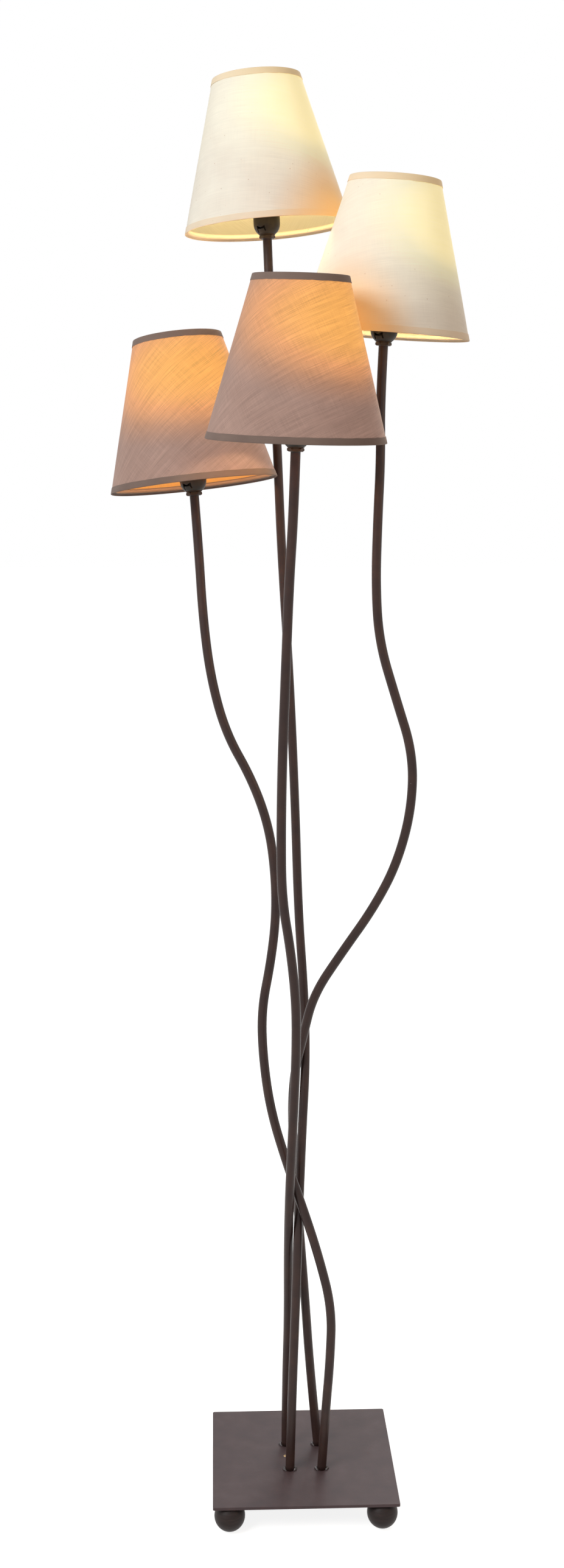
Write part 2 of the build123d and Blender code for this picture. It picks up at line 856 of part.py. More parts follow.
for name, arm in arms.items():
    head = heads[name]
    print(name, "arm")
    save(make_tube(arm, head), f"{name}_tube")
    save(make_holder_cap(head), f"{name}_holder_cap")
    save(make_holder_body(head), f"{name}_holder_body")
    save(make_centre_contact(head), f"{name}_centre_contact")
    save(make_shade_collar(head), f"{name}_shade_collar")
    save(make_shade_fitter(head), f"{name}_shade_fitter")
    save(make_top_wire(head), f"{name}_shade_top_wire")
    save(make_shade(head), f"{name}_shade")
    save(make_shade_hems(head), f"{name}_shade_hems")
    save(make_bulb_cap(head), f"{name}_bulb_cap")
    save(make_bulb_glass(head), f"{name}_bulb_glass")
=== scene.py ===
# %% [markdown]
# # Dressing a tree floor lamp
#
# The lamp is four bent steel tubes on a square plate with ball feet. Each tube ends in a
# moulded lampholder with a candle bulb and a tapered fabric shade, two of them cream white
# and two taupe. The solids already exist, at their real size, so this file gives them their
# looks: it keeps the ones whose shape is right, and makes a finer piece for each one that
# the eye rests on. Everything is in metres, and the origin is on the floor under the plate.

import json
from math import asin, atan, atan2, cos, degrees, pi, radians, sin, sqrt, tan

import bmesh
import bpy
from mathutils import Matrix, Vector, noise


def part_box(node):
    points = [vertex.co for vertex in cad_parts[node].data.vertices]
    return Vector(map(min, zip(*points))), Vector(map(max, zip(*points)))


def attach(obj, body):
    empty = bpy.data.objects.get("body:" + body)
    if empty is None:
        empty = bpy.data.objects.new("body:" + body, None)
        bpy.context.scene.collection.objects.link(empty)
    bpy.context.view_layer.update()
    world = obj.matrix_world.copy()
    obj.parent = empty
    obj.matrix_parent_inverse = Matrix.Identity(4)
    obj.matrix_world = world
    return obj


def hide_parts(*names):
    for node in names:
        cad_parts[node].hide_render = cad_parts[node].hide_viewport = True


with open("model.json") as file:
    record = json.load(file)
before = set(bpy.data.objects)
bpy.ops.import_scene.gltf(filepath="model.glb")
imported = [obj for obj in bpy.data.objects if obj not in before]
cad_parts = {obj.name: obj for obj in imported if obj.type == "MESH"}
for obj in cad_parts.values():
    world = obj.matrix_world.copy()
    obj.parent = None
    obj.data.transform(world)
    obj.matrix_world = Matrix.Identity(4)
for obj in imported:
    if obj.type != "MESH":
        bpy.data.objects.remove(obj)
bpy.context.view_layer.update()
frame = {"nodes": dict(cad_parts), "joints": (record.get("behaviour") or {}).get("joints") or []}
joints = {joint["name"]: joint for joint in frame["joints"]}
print("pieces in the frame:", len(frame["nodes"]))

# %% [markdown]
# ## The camera
#
# The picture was taken from chest height, two metres away, by a camera that was turned a
# little to the right and tipped a little down. The lens is given as its focal length on a
# 36 mm picture side. The picture was trimmed more above than below, so a small shift puts
# the middle of the lens above the middle of the picture.

# %% The camera
FOCAL_PIXELS = 2988.0
PICTURE_HEIGHT = 2576.0
LENS_MIDDLE_ROW = 1100.0
CAMERA_PLACE = (-0.0954, -1.9268, 1.1254)
CAMERA_YAW = 2.16
CAMERA_PITCH = -6.14

camera = bpy.data.objects.new("camera", bpy.data.cameras.new("camera"))
bpy.context.scene.collection.objects.link(camera)
camera.data.lens = FOCAL_PIXELS / PICTURE_HEIGHT * camera.data.sensor_width
camera.data.shift_y = (LENS_MIDDLE_ROW - PICTURE_HEIGHT / 2) / PICTURE_HEIGHT
camera.location = CAMERA_PLACE
camera.rotation_euler = (radians(90 + CAMERA_PITCH), 0, radians(-CAMERA_YAW))
bpy.context.scene.camera = camera
print(f"lens {camera.data.lens:.1f} mm, shift {camera.data.shift_y:.3f}")

# %% [markdown]
# ## Colours and nodes
#
# Paint charts and pictures give colours as sRGB hex values, but shaders work with linear
# light, so one function turns the first into the second. Another adds a node: settings go
# in by name, a number or colour lands on the node's own socket, and an output of another
# node is linked.

# %% Helpers for materials
MM = 0.001
MIX_A, MIX_B, MIX_RESULT = 6, 7, 2    # the colour sockets of a Mix node


def linear(hex_colour):
    """An sRGB hex colour as linear red, green, blue and alpha."""
    channels = [int(hex_colour[i:i + 2], 16) / 255 for i in (1, 3, 5)]
    curve = [c / 12.92 if c <= 0.04045 else ((c + 0.055) / 1.055) ** 2.4 for c in channels]
    return (*curve, 1.0)


def add_node(tree, kind, inputs=None, **settings):
    """A new node with its settings, and with its inputs set or linked."""
    node = tree.nodes.new(kind)
    for name, value in settings.items():
        setattr(node, name, value)
    for name, value in (inputs or {}).items():
        if isinstance(value, bpy.types.NodeSocket):
            tree.links.new(value, node.inputs[name])
        else:
            node.inputs[name].default_value = value
    return node


def new_finish(name, **values):
    """A material with one Principled shader, whose named inputs start at these values."""
    material = bpy.data.materials.new(name)
    material.use_nodes = True
    tree = material.node_tree
    tree.nodes.clear()
    shader = add_node(tree, "ShaderNodeBsdfPrincipled", values)
    add_node(tree, "ShaderNodeOutputMaterial", {"Surface": shader.outputs["BSDF"]})
    return material, tree, shader


def set_ramp(ramp, *stops):
    """Gives a Color Ramp node its stops, each a place from 0 to 1 and a hex colour."""
    elements = ramp.color_ramp.elements
    while len(elements) < len(stops):
        elements.new(0.5)
    for element, (place, colour) in zip(elements, stops):
        element.position = place
        element.color = linear(colour)


def lumpy(tree, shader, place, size, height, strength=0.4, detail=2.5):
    """Gives a surface soft lumps of one size and height, in metres."""
    lumps = add_node(tree, "ShaderNodeTexNoise",
                     {"Vector": place, "Scale": 1 / size, "Detail": detail})
    bump = add_node(tree, "ShaderNodeBump",
                    {"Height": lumps.outputs["Fac"], "Strength": strength, "Distance": height})
    tree.links.new(bump.outputs["Normal"], shader.inputs["Normal"])


# %% [markdown]
# ## Powder coat
#
# The plate and the tubes are mild steel with a dark brown polyester powder coat. Powder is
# sprayed on dry and melts in an oven, which leaves a satin skin with a faint orange peel of
# about a millimetre, and a colour that drifts very slightly. A few pale specks show where
# dust or a knock touched the coat.

# %% Powder-coated steel
COAT_PEEL = 1.1 * MM
COAT_PEEL_HEIGHT = 0.06 * MM
COAT_GRAIN = 0.35 * MM
COAT_DRIFT = 24 * MM
SPECK_SPACING = 26 * MM
SPECK_RADIUS = 0.45 * MM


def powder_coat(name, dark, middle, light, roughness, gloss=0.28):
    """A satin powder coat whose colour drifts between three near browns."""
    values = {"Roughness": roughness, "Specular IOR Level": gloss}
    material, tree, shader = new_finish(name, **values)
    place = add_node(tree, "ShaderNodeTexCoord").outputs["Object"]
    drift = add_node(tree, "ShaderNodeTexNoise",
                     {"Vector": place, "Scale": 1 / COAT_DRIFT, "Detail": 5.0})
    grain = add_node(tree, "ShaderNodeTexNoise",
                     {"Vector": place, "Scale": 1 / COAT_GRAIN, "Detail": 2.0})
    mixed = add_node(tree, "ShaderNodeMath",
                     {0: grain.outputs["Fac"], 1: 0.35, 2: drift.outputs["Fac"]},
                     operation="MULTIPLY_ADD")
    tones = add_node(tree, "ShaderNodeValToRGB", {"Fac": mixed.outputs["Value"]})
    set_ramp(tones, (0.45, dark), (0.68, middle), (0.9, light))
    cells = add_node(tree, "ShaderNodeTexVoronoi", {"Vector": place, "Scale": 1 / SPECK_SPACING})
    speck = add_node(tree, "ShaderNodeMath",
                     {0: cells.outputs["Distance"], 1: SPECK_RADIUS / SPECK_SPACING},
                     operation="LESS_THAN")
    colour = add_node(tree, "ShaderNodeMix",
                      {0: speck.outputs["Value"], MIX_A: tones.outputs["Color"],
                       MIX_B: linear("#8d8480")}, data_type="RGBA")
    tree.links.new(colour.outputs[MIX_RESULT], shader.inputs["Base Color"])
    lumpy(tree, shader, place, COAT_PEEL, COAT_PEEL_HEIGHT, 0.35)
    return material


# The plate's coat is lighter and greyer than the tubes'; part of that is painted light, as the
# plate's flat top faces the light from above.
plate_coat = powder_coat("powder_coated_plate", "#45383a", "#4c3d3e", "#534445", 0.52)
tube_coat = powder_coat("powder_coated_tube", "#30211f", "#382723", "#422e28", 0.36)
nut_coat = powder_coat("powder_coated_nut", "#32261c", "#3d2f23", "#4a3a2b", 0.42)
tack_coat = powder_coat("powder_coated_weld", "#3a3132", "#433a3b", "#4e4546", 0.22, 0.6)

# %% [markdown]
# ## Lacquered ball feet
#
# The feet are balls turned from beech on a lathe, bored for their studs, and sprayed with a
# dark lacquer. The lacquer is thinner than the powder coat and fills the grain only half, so
# fine rings of the turning and short pores still catch the light.

# %% Lacquer on turned beech
LACQUER_RING = 1.6 * MM
LACQUER_PORE = 0.5 * MM


def lacquered_beech():
    """Dark satin lacquer over faint turning rings, which lie level round a ball."""
    material, tree, shader = new_finish("lacquered_beech", Roughness=0.5,
                                        **{"Specular IOR Level": 0.25})
    place = add_node(tree, "ShaderNodeTexCoord").outputs["Object"]
    rings = add_node(tree, "ShaderNodeMapping",
                     {"Vector": place, "Scale": (0.12, 0.12, 1.0)})
    grain = add_node(tree, "ShaderNodeTexNoise",
                     {"Vector": rings.outputs["Vector"], "Scale": 1 / LACQUER_RING, "Detail": 4.0})
    tones = add_node(tree, "ShaderNodeValToRGB", {"Fac": grain.outputs["Fac"]})
    set_ramp(tones, (0.3, "#211816"), (0.55, "#2a1f1d"), (0.75, "#342825"))
    tree.links.new(tones.outputs["Color"], shader.inputs["Base Color"])
    pores = add_node(tree, "ShaderNodeTexNoise",
                     {"Vector": place, "Scale": 1 / LACQUER_PORE, "Detail": 2.0})
    relief = add_node(tree, "ShaderNodeMath",
                      {0: pores.outputs["Fac"], 1: 0.4, 2: grain.outputs["Fac"]},
                      operation="MULTIPLY_ADD")
    bump = add_node(tree, "ShaderNodeBump",
                    {"Height": relief.outputs["Value"], "Strength": 0.3, "Distance": 0.08 * MM})
    tree.links.new(bump.outputs["Normal"], shader.inputs["Normal"])
    return material


foot_lacquer = lacquered_beech()

# %% [markdown]
# ## Moulded thermoplastic
#
# The lampholders are moulded from a heat-resistant polyester with glass in it, and the
# junction box and terminal block from nylon. The mould was spark-eroded, which leaves an
# even fine grain on the plastic, and the glass fibres cloud the colour a little.

# %% Moulded plastics
MOULD_GRAIN = 0.45 * MM
MOULD_CLOUD = 9 * MM


def moulded_plastic(name, dark, light, roughness, grain_height=0.03 * MM, gloss=0.5):
    """A moulded plastic whose colour clouds between two near tones."""
    material, tree, shader = new_finish(name, Roughness=roughness,
                                        **{"Specular IOR Level": gloss})
    place = add_node(tree, "ShaderNodeTexCoord").outputs["Object"]
    cloud = add_node(tree, "ShaderNodeTexNoise",
                     {"Vector": place, "Scale": 1 / MOULD_CLOUD, "Detail": 4.0})
    tones = add_node(tree, "ShaderNodeValToRGB", {"Fac": cloud.outputs["Fac"]})
    set_ramp(tones, (0.35, dark), (0.65, light))
    tree.links.new(tones.outputs["Color"], shader.inputs["Base Color"])
    lumpy(tree, shader, place, MOULD_GRAIN, grain_height)
    return material


holder_plastic = moulded_plastic("moulded_lampholder", "#2f2a24", "#3a342c", 0.48, gloss=0.25)
box_plastic = moulded_plastic("moulded_nylon_box", "#1b1b1b", "#232323", 0.55)
block_plastic = moulded_plastic("moulded_nylon_block", "#d8d3c2", "#e4dfd0", 0.40)
gland_rubber = moulded_plastic("moulded_rubber", "#151515", "#1f1f1f", 0.70)
lead_sheath = moulded_plastic("extruded_lead_sheath", "#cfcdc6", "#dcdad4", 0.45)

# %% [markdown]
# ## Bare metals
#
# The screw shells and contacts are brass sheet, pressed and left bare, so it has dulled.
# The studs and screws are zinc-plated, and the bulbs' caps are aluminium. Pressing and
# rolling leave fine lines round each part, which show as roughness that changes from line
# to line.

# %% Pressed, plated and rolled metal
ROLLED_LINE = 0.3 * MM


def worked_metal(name, dark, light, smoothest, roughest):
    """A bare metal with fine worked lines, from a smooth to a rough finish."""
    material, tree, shader = new_finish(name, Metallic=1.0)
    place = add_node(tree, "ShaderNodeTexCoord").outputs["Object"]
    lines = add_node(tree, "ShaderNodeMapping", {"Vector": place, "Scale": (0.2, 0.2, 1.0)})
    marks = add_node(tree, "ShaderNodeTexNoise",
                     {"Vector": lines.outputs["Vector"], "Scale": 1 / ROLLED_LINE, "Detail": 3.0})
    tones = add_node(tree, "ShaderNodeValToRGB", {"Fac": marks.outputs["Fac"]})
    set_ramp(tones, (0.3, dark), (0.7, light))
    tree.links.new(tones.outputs["Color"], shader.inputs["Base Color"])
    rough = add_node(tree, "ShaderNodeMapRange",
                     {"Value": marks.outputs["Fac"], "From Min": 0.3, "From Max": 0.7,
                      "To Min": smoothest, "To Max": roughest})
    tree.links.new(rough.outputs["Result"], shader.inputs["Roughness"])
    return material


brass = worked_metal("pressed_brass", "#a8873f", "#c9a85c", 0.25, 0.42)
dull_brass = worked_metal("dull_brass_screw", "#b4966c", "#d0b48c", 0.38, 0.55)
zinc = worked_metal("zinc_plated_steel", "#9b9b98", "#bcbcb8", 0.30, 0.48)
bulb_aluminium = worked_metal("rolled_aluminium", "#bdbbb4", "#dad8d2", 0.22, 0.40)

# %% [markdown]
# ## Where each arm's lampholder and shade are
#
# Every shade turns on its lampholder, so the frame knows the middle of each one's hub and
# the way that its lampholder points. From those come the seat of the lampholder, which is
# the foot of its cap, and a stand for each: a matrix whose z axis runs up the lampholder or
# the shade. The wire of each shade is bent by a degree or two against its lampholder.

# %% The four arms
HUB_HEIGHT = 33.1 * MM        # middle of a shade's hub above its lampholder's seat
SHADE_DROP = 5.5 * MM         # a shade's lower rim above the seat
TUBE_STRAIGHT = 62 * MM       # straight stretch of tube below the seat
TUBE_ENTRY = 8 * MM           # how far a tube reaches into its lampholder

arms = {
    "high": {
        "route": [
            (-0.015, -0.027, 0.000), (-0.013, -0.027, 0.075), (-0.010, -0.025, 0.155),
            (-0.007, -0.021, 0.235), (-0.004, -0.008, 0.305), (0.000, 0.011, 0.375),
            (0.005, 0.032, 0.445), (0.004, 0.050, 0.515), (-0.002, 0.067, 0.605),
            (-0.005, 0.080, 0.725), (-0.011, 0.086, 0.865), (-0.020, 0.085, 1.005),
            (-0.025, 0.081, 1.125), (-0.030, 0.076, 1.215),
        ],
        "cloth": "white",
        "wire_bent": -2.2,
        "lit_by": "right",
        "glow": (34, -18, 115),
        "seam_at": 75,
    },
    "right": {
        "route": [
            (0.0185, 0.024, 0.000), (0.010, 0.026, 0.085), (0.004, 0.028, 0.175),
            (-0.003, 0.030, 0.265), (-0.010, 0.030, 0.355), (-0.010, 0.026, 0.425),
            (0.001, 0.020, 0.475), (0.012, 0.012, 0.525), (0.043, 0.004, 0.575),
            (0.076, -0.004, 0.625), (0.101, -0.008, 0.675), (0.116, -0.011, 0.735),
            (0.117, -0.012, 0.795), (0.098, -0.013, 0.855), (0.080, -0.012, 0.915),
            (0.076, -0.011, 0.975), (0.078, -0.009, 1.045), (0.081, -0.007, 1.110),
        ],
        "cloth": "white",
        "wire_bent": 1.2,
        "lit_by": "front",
        "glow": (34, -18, 112),
        "seam_at": 110,
    },
    "front": {
        "route": [
            (-0.0175, 0.0245, 0.000), (-0.017, 0.024, 0.075), (-0.015, 0.017, 0.155),
            (-0.016, -0.001, 0.235), (-0.016, -0.032, 0.315), (-0.013, -0.048, 0.395),
            (-0.010, -0.058, 0.475), (-0.010, -0.065, 0.535), (-0.016, -0.072, 0.595),
            (-0.026, -0.079, 0.655), (-0.027, -0.087, 0.725), (-0.026, -0.096, 0.805),
            (-0.023, -0.107, 0.895), (-0.020, -0.117, 0.985),
        ],
        "cloth": "taupe",
        "wire_bent": 0.0,
        "glow": (16, -13, 110),
        "seam_at": 95,
    },
    "left": {
        "route": [
            (0.020, -0.027, 0.000), (0.024, -0.028, 0.065), (0.029, -0.028, 0.125),
            (0.031, -0.027, 0.185), (0.016, -0.025, 0.245), (0.000, -0.022, 0.295),
            (-0.018, -0.017, 0.345), (-0.036, -0.012, 0.405), (-0.044, -0.007, 0.465),
            (-0.045, -0.003, 0.515), (-0.035, 0.000, 0.565), (-0.029, 0.003, 0.615),
            (-0.030, 0.006, 0.665), (-0.037, 0.009, 0.715), (-0.055, 0.012, 0.765),
            (-0.083, 0.016, 0.815), (-0.099, 0.021, 0.875), (-0.107, 0.026, 0.940),
        ],
        "cloth": "taupe",
        "wire_bent": -1.9,
        "lit_by": "front",
        "glow": (4, -16, 108),
        "seam_at": 80,
    },
}


def stand(foot, up):
    """A matrix with its origin at a foot, z along up and x as near to the right as it can be."""
    side = (Vector((1, 0, 0)) - up * up.x).normalized()
    return Matrix.Translation(foot) @ Matrix((side, up.cross(side), up)).transposed().to_4x4()


for arm_name, arm in arms.items():
    turn = joints[f"{arm_name}_shade_turn"]
    hub, up = Vector(turn["pos_m"]), Vector(turn["axis"]).normalized()
    lean = atan2(up.x, up.z) + radians(arm["wire_bent"])
    shade_up = Vector((tan(lean), up.y / up.z, 1)).normalized()
    arm["up"] = up
    arm["seat"] = hub - up * HUB_HEIGHT
    arm["holder_stand"] = stand(arm["seat"], up)
    arm["shade_stand"] = stand(hub - shade_up * (HUB_HEIGHT - SHADE_DROP), shade_up)
    print(arm_name, "lampholder's seat at", [round(c, 4) for c in arm["seat"]])

# %% [markdown]
# ## Helpers for shapes
#
# Most of the lamp's small parts are turned or moulded round, so one function spins a closed
# half outline about a stand's z axis. It merges what lies on the axis into one point, so
# that the poles are closed. Another rounds the corners of an outline, because nothing real
# has a knife edge, and the round is what catches the light.

# %% Helpers for shapes


def new_piece(name, mesh, *materials):
    """An object for a finished mesh, smooth but for its sharp edges."""
    piece = bpy.data.objects.new(name, mesh)
    bpy.context.scene.collection.objects.link(piece)
    for material in materials:
        mesh.materials.append(material)
    return piece


def mesh_from(form, name, sharp_angle=40):
    """A mesh made from a bmesh, with its edges sharp above an angle."""
    bmesh.ops.recalc_face_normals(form, faces=form.faces)
    mesh = bpy.data.meshes.new(name)
    form.to_mesh(mesh)
    form.free()
    mesh.shade_smooth()
    mesh.set_sharp_from_angle(angle=radians(sharp_angle))
    return mesh


def settle(piece):
    """Swaps a piece's modifiers for the plain mesh that they make."""
    graph = bpy.context.evaluated_depsgraph_get()
    made = bpy.data.meshes.new_from_object(piece.evaluated_get(graph))
    piece.modifiers.clear()
    piece.data = made
    return piece


def hand_over(piece, body, slot, *nodes):
    """Puts a piece on its body and lets it stand for its CAD nodes; its slot is not used."""
    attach(piece, body)
    if nodes:
        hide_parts(*nodes)
    return piece


def rounded(outline, reach, steps=3):
    """A closed outline with each corner off the axis rounded, up to a reach."""
    points = []
    count = len(outline)
    for i, corner in enumerate(outline):
        corner = Vector(corner)
        before, after = Vector(outline[i - 1]), Vector(outline[(i + 1) % count])
        if corner.x < 1e-6:
            points.append(tuple(corner))
            continue
        start = corner + (before - corner).normalized() * min(reach, (before - corner).length / 2.5)
        end = corner + (after - corner).normalized() * min(reach, (after - corner).length / 2.5)
        for step in range(steps + 1):
            t = step / steps
            points.append(tuple(start * (1 - t) ** 2 + corner * 2 * t * (1 - t) + end * t ** 2))
    return points


def arc(middle, radius, first, last, steps):
    """Points of an arc, from a first to a last angle in degrees."""
    angles = [radians(first + (last - first) * i / steps) for i in range(steps + 1)]
    return [(middle[0] + radius * cos(a), middle[1] + radius * sin(a)) for a in angles]


def turned(outline, where, sides=64):
    """A bmesh of a closed half outline of (radius, height), spun about a stand's z axis."""
    form = bmesh.new()
    rings = []
    for radius, height in outline:
        angles = [2 * pi * i / sides for i in range(sides)] if radius > 1e-6 else [0]
        rings.append([form.verts.new((radius * cos(a), radius * sin(a), height)) for a in angles])
    for ring, above in zip(rings, rings[1:] + rings[:1]):
        for i in range(sides):
            here, there = i, (i + 1) % sides
            corners = [ring[here % len(ring)], ring[there % len(ring)],
                       above[there % len(above)], above[here % len(above)]]
            corners = list(dict.fromkeys(corners))
            if len(corners) > 2:
                form.faces.new(corners)
    form.transform(where)
    return form


# %% [markdown]
# ## The four tubes
#
# Each tube was bent cold by hand, a little at a time, so its line wanders as a stem does,
# but it never kinks. A clamped quadratic NURBS curve through a few chosen control points
# has that softness. A small Geometry Nodes tree sweeps a circle along it, and Solidify
# gives the skin its one millimetre wall, open at both ends for the lead inside.

# %% A tree that sweeps a round bar along a route
PLATE_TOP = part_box("base_plate")[1].z
TUBE_DIAMETER = 10 * MM
TUBE_WALL = 1 * MM
NURBS_ORDER = 3


def round_bar_tree():
    """Geometry Nodes: a round bar of one diameter along every curve of an object."""
    tree = bpy.data.node_groups.new("Round bar along a route", "GeometryNodeTree")
    tree.is_modifier = True
    for name, kind in (("Route", "Object"), ("Diameter", "Float"), ("Step", "Float"),
                       ("Sides", "Int"), ("Closed ends", "Bool"), ("Finish", "Material")):
        tree.interface.new_socket(name, in_out="INPUT", socket_type=f"NodeSocket{kind}")
    tree.interface.new_socket("Geometry", in_out="OUTPUT", socket_type="NodeSocketGeometry")
    given = add_node(tree, "NodeGroupInput").outputs
    route = add_node(tree, "GeometryNodeObjectInfo", {"Object": given["Route"]})
    even = add_node(tree, "GeometryNodeResampleCurve",
                    {"Curve": route.outputs["Geometry"], "Length": given["Step"]}, mode="LENGTH")
    radius = add_node(tree, "ShaderNodeMath", {0: given["Diameter"], 1: 0.5},
                      operation="MULTIPLY")
    section = add_node(tree, "GeometryNodeCurvePrimitiveCircle",
                       {"Resolution": given["Sides"], "Radius": radius.outputs["Value"]})
    skin = add_node(tree, "GeometryNodeCurveToMesh",
                    {"Curve": even.outputs["Curve"], "Profile Curve": section.outputs["Curve"],
                     "Fill Caps": given["Closed ends"]})
    real = add_node(tree, "GeometryNodeRealizeInstances", {"Geometry": skin.outputs["Mesh"]})
    coated = add_node(tree, "GeometryNodeSetMaterial",
                      {"Geometry": real.outputs["Geometry"], "Material": given["Finish"]})
    add_node(tree, "NodeGroupOutput", {"Geometry": coated.outputs["Geometry"]})
    return tree


round_bar = round_bar_tree()


def set_inputs(modifier, **values):
    """Sets a Geometry Nodes modifier's inputs by their names, which stand for identifiers."""
    for socket in modifier.node_group.interface.items_tree:
        key = socket.name.replace(" ", "_").lower()
        if socket.in_out == "INPUT" and key in values:
            modifier[socket.identifier] = values[key]


def route_curve(name, runs, closed=False):
    """A curve object with one quadratic NURBS spline for each run of points."""
    curve = bpy.data.curves.new(name, "CURVE")
    curve.dimensions = "3D"
    curve.resolution_u = 24
    for points in runs:
        spline = curve.splines.new("NURBS")
        spline.points.add(len(points) - 1)
        for point, place in zip(spline.points, points):
            point.co = (*place, 1.0)
        spline.order_u = NURBS_ORDER
        spline.use_endpoint_u = not closed
        spline.use_cyclic_u = closed
    route = bpy.data.objects.new(name, curve)
    bpy.context.scene.collection.objects.link(route)
    return route


def bars(name, routes, diameter, step, sides, finish, closed_ends=True):
    """Round bars along one or more routes, as one plain mesh."""
    form = bmesh.new()
    for route in routes:
        piece = new_piece(name, bpy.data.meshes.new(name))
        modifier = piece.modifiers.new("bar", "NODES")
        modifier.node_group = round_bar
        set_inputs(modifier, route=route, diameter=diameter, step=step, sides=sides,
                   closed_ends=closed_ends, finish=finish)
        settle(piece)
        form.from_mesh(piece.data)
        bpy.data.objects.remove(piece)
        bpy.data.objects.remove(route)
    bmesh.ops.remove_doubles(form, verts=form.verts, dist=1e-6)
    return new_piece(name, mesh_from(form, name), finish)


for arm_name, arm in arms.items():
    points = [(x, y, z + PLATE_TOP) for x, y, z in arm["route"]]
    points.append(tuple(arm["seat"] - arm["up"] * TUBE_STRAIGHT))
    points.append(tuple(arm["seat"] + arm["up"] * TUBE_ENTRY))
    route = route_curve(f"{arm_name}_route", [points])
    tube = bars(f"{arm_name}_bent_tube", [route], TUBE_DIAMETER, 5 * MM, 32, tube_coat,
                closed_ends=False)
    wall = tube.modifiers.new("wall", "SOLIDIFY")
    wall.thickness = TUBE_WALL
    wall.offset = -1
    settle(tube)
    hand_over(tube, "root", "coated_steel", f"{arm_name}_tube")
    print(arm_name, "tube:", len(tube.data.polygons), "faces")

# %% [markdown]
# ## Weld tacks
#
# Two short tacks hold each tube to the plate, one at its left and one at its right. The
# welder's wire was dipped a few times as it went round the tube's foot, which leaves a low
# bead with a ripple for each dip. The beads were coated with the rest.

# %% Weld tacks
TACK_SWEEP = 46               # degrees of the tube's foot that a tack covers, each way
TACK_RADIUS = 2.1 * MM
TACK_RIPPLE = 0.2            # share of the bead's radius
TACK_DIPS = 3
TACK_RINGS, TACK_SIDES = 28, 14
TACK_ROUGH = 0.45 * MM


def add_tack(form, foot, heading):
    """One bead of weld round a tube's foot, centred on a heading in degrees."""
    rings = []
    for i in range(TACK_RINGS + 1):
        t = 2 * i / TACK_RINGS - 1
        angle = radians(heading + t * TACK_SWEEP)
        bead = TACK_RADIUS * sqrt(max(1 - t * t, 0)) * (1 + TACK_RIPPLE * cos(TACK_DIPS * 2 * pi * t))
        ring = []
        for j in range(TACK_SIDES):
            turn_angle = 2 * pi * j / TACK_SIDES
            reach = TUBE_DIAMETER / 2 + 0.5 * MM + bead * cos(turn_angle)
            spot = foot + Vector((reach * cos(angle), reach * sin(angle), bead * sin(turn_angle)))
            rough = noise.noise_vector(spot / (2 * MM)) * TACK_ROUGH * min(bead / TACK_RADIUS, 1)
            ring.append(form.verts.new(spot + rough))
        rings.append(ring)
    for ring, following in zip(rings, rings[1:]):
        for j in range(TACK_SIDES):
            k = (j + 1) % TACK_SIDES
            form.faces.new((ring[j], ring[k], following[k], following[j]))


form = bmesh.new()
for arm in arms.values():
    foot_x, foot_y, _ = arm["route"][0]
    for heading in (0, 180):
        add_tack(form, Vector((foot_x, foot_y, PLATE_TOP + 0.3 * MM)), heading)
bmesh.ops.remove_doubles(form, verts=form.verts, dist=1e-6)
tacks = new_piece("welded_tacks", mesh_from(form, "welded_tacks", 60), tack_coat)
hand_over(tacks, "root", "coated_steel", "weld_tacks")
print("weld tacks:", 2 * len(arms))

# %% [markdown]
# ## Ball feet
#
# Each foot is a ball with a flat sawn on top, where it meets the plate, and a smaller one
# below, bored for its felt pad. Its outline is one arc between the two flats.

# %% Ball feet
PAD_RECESS_RADIUS = 4.5 * MM
PAD_RECESS_DEPTH = 1.6 * MM

for foot_name in ("front_left_foot", "front_right_foot", "rear_left_foot", "rear_right_foot"):
    low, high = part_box(foot_name)
    ball = (high.x - low.x) / 2
    first, last = (degrees(asin((level - ball) / ball)) for level in (low.z, high.z))
    recess = low.z + PAD_RECESS_DEPTH
    outline = [(0, recess), (PAD_RECESS_RADIUS, recess), (PAD_RECESS_RADIUS, low.z)]
    outline += [*arc((0, ball), ball, first, last, 44), (0, high.z)]
    where = Matrix.Translation(((low.x + high.x) / 2, (low.y + high.y) / 2, 0))
    foot = new_piece(f"turned_{foot_name}", mesh_from(turned(outline, where, 72), foot_name),
                     foot_lacquer)
    hand_over(foot, "root", "coated_ball", foot_name)
print(f"ball feet, {2000 * ball:.1f} mm across")

# %% [markdown]
# ## Lampholder caps
#
# The cap is a small moulded bowl that screws onto the tube's end. The holder's body snaps
# into it, and a tongue on each side lets go when it is pressed, so the wall is cut through
# round each tongue in the shape of a letter M. The bowl is turned from one outline, and two
# prisms of that shape are cut out of it with a Boolean.

# %% Lampholder caps
CAP_BORE = 5.05 * MM
CAP_FOOT = 9.25 * MM
CAP_RIM = 14.3 * MM
CAP_DOME = 12 * MM
CAP_BULGE = 1.5 * MM
CAP_HEIGHT = 17 * MM
CAP_WALL = 1.6 * MM
CAP_FLOOR = 3 * MM
CAP_BOSS = 7.65 * MM
CATCH_AT = (237, 57)          # degrees round the cap from its right
CATCH_OUTLINE = [             # across and up, in millimetres, round one tongue
    (-5.2, 0.9), (-4.9, 8.5), (0.0, 6.1), (4.9, 8.5), (5.2, 2.4),
    (4.0, 2.4), (3.6, 5.0), (0.0, 4.7), (-3.6, 5.0), (-4.0, 0.9),
]


def bulged(foot, rim, steps=9):
    """Points from a bowl's foot up to its rim, along a line that bulges outwards."""
    run = Vector(rim) - Vector(foot)
    aside = Vector((run.y, -run.x)).normalized()
    shares = [i / steps for i in range(steps + 1)]
    return [tuple(Vector(foot) + run * t + aside * 4 * CAP_BULGE * t * (1 - t)) for t in shares]


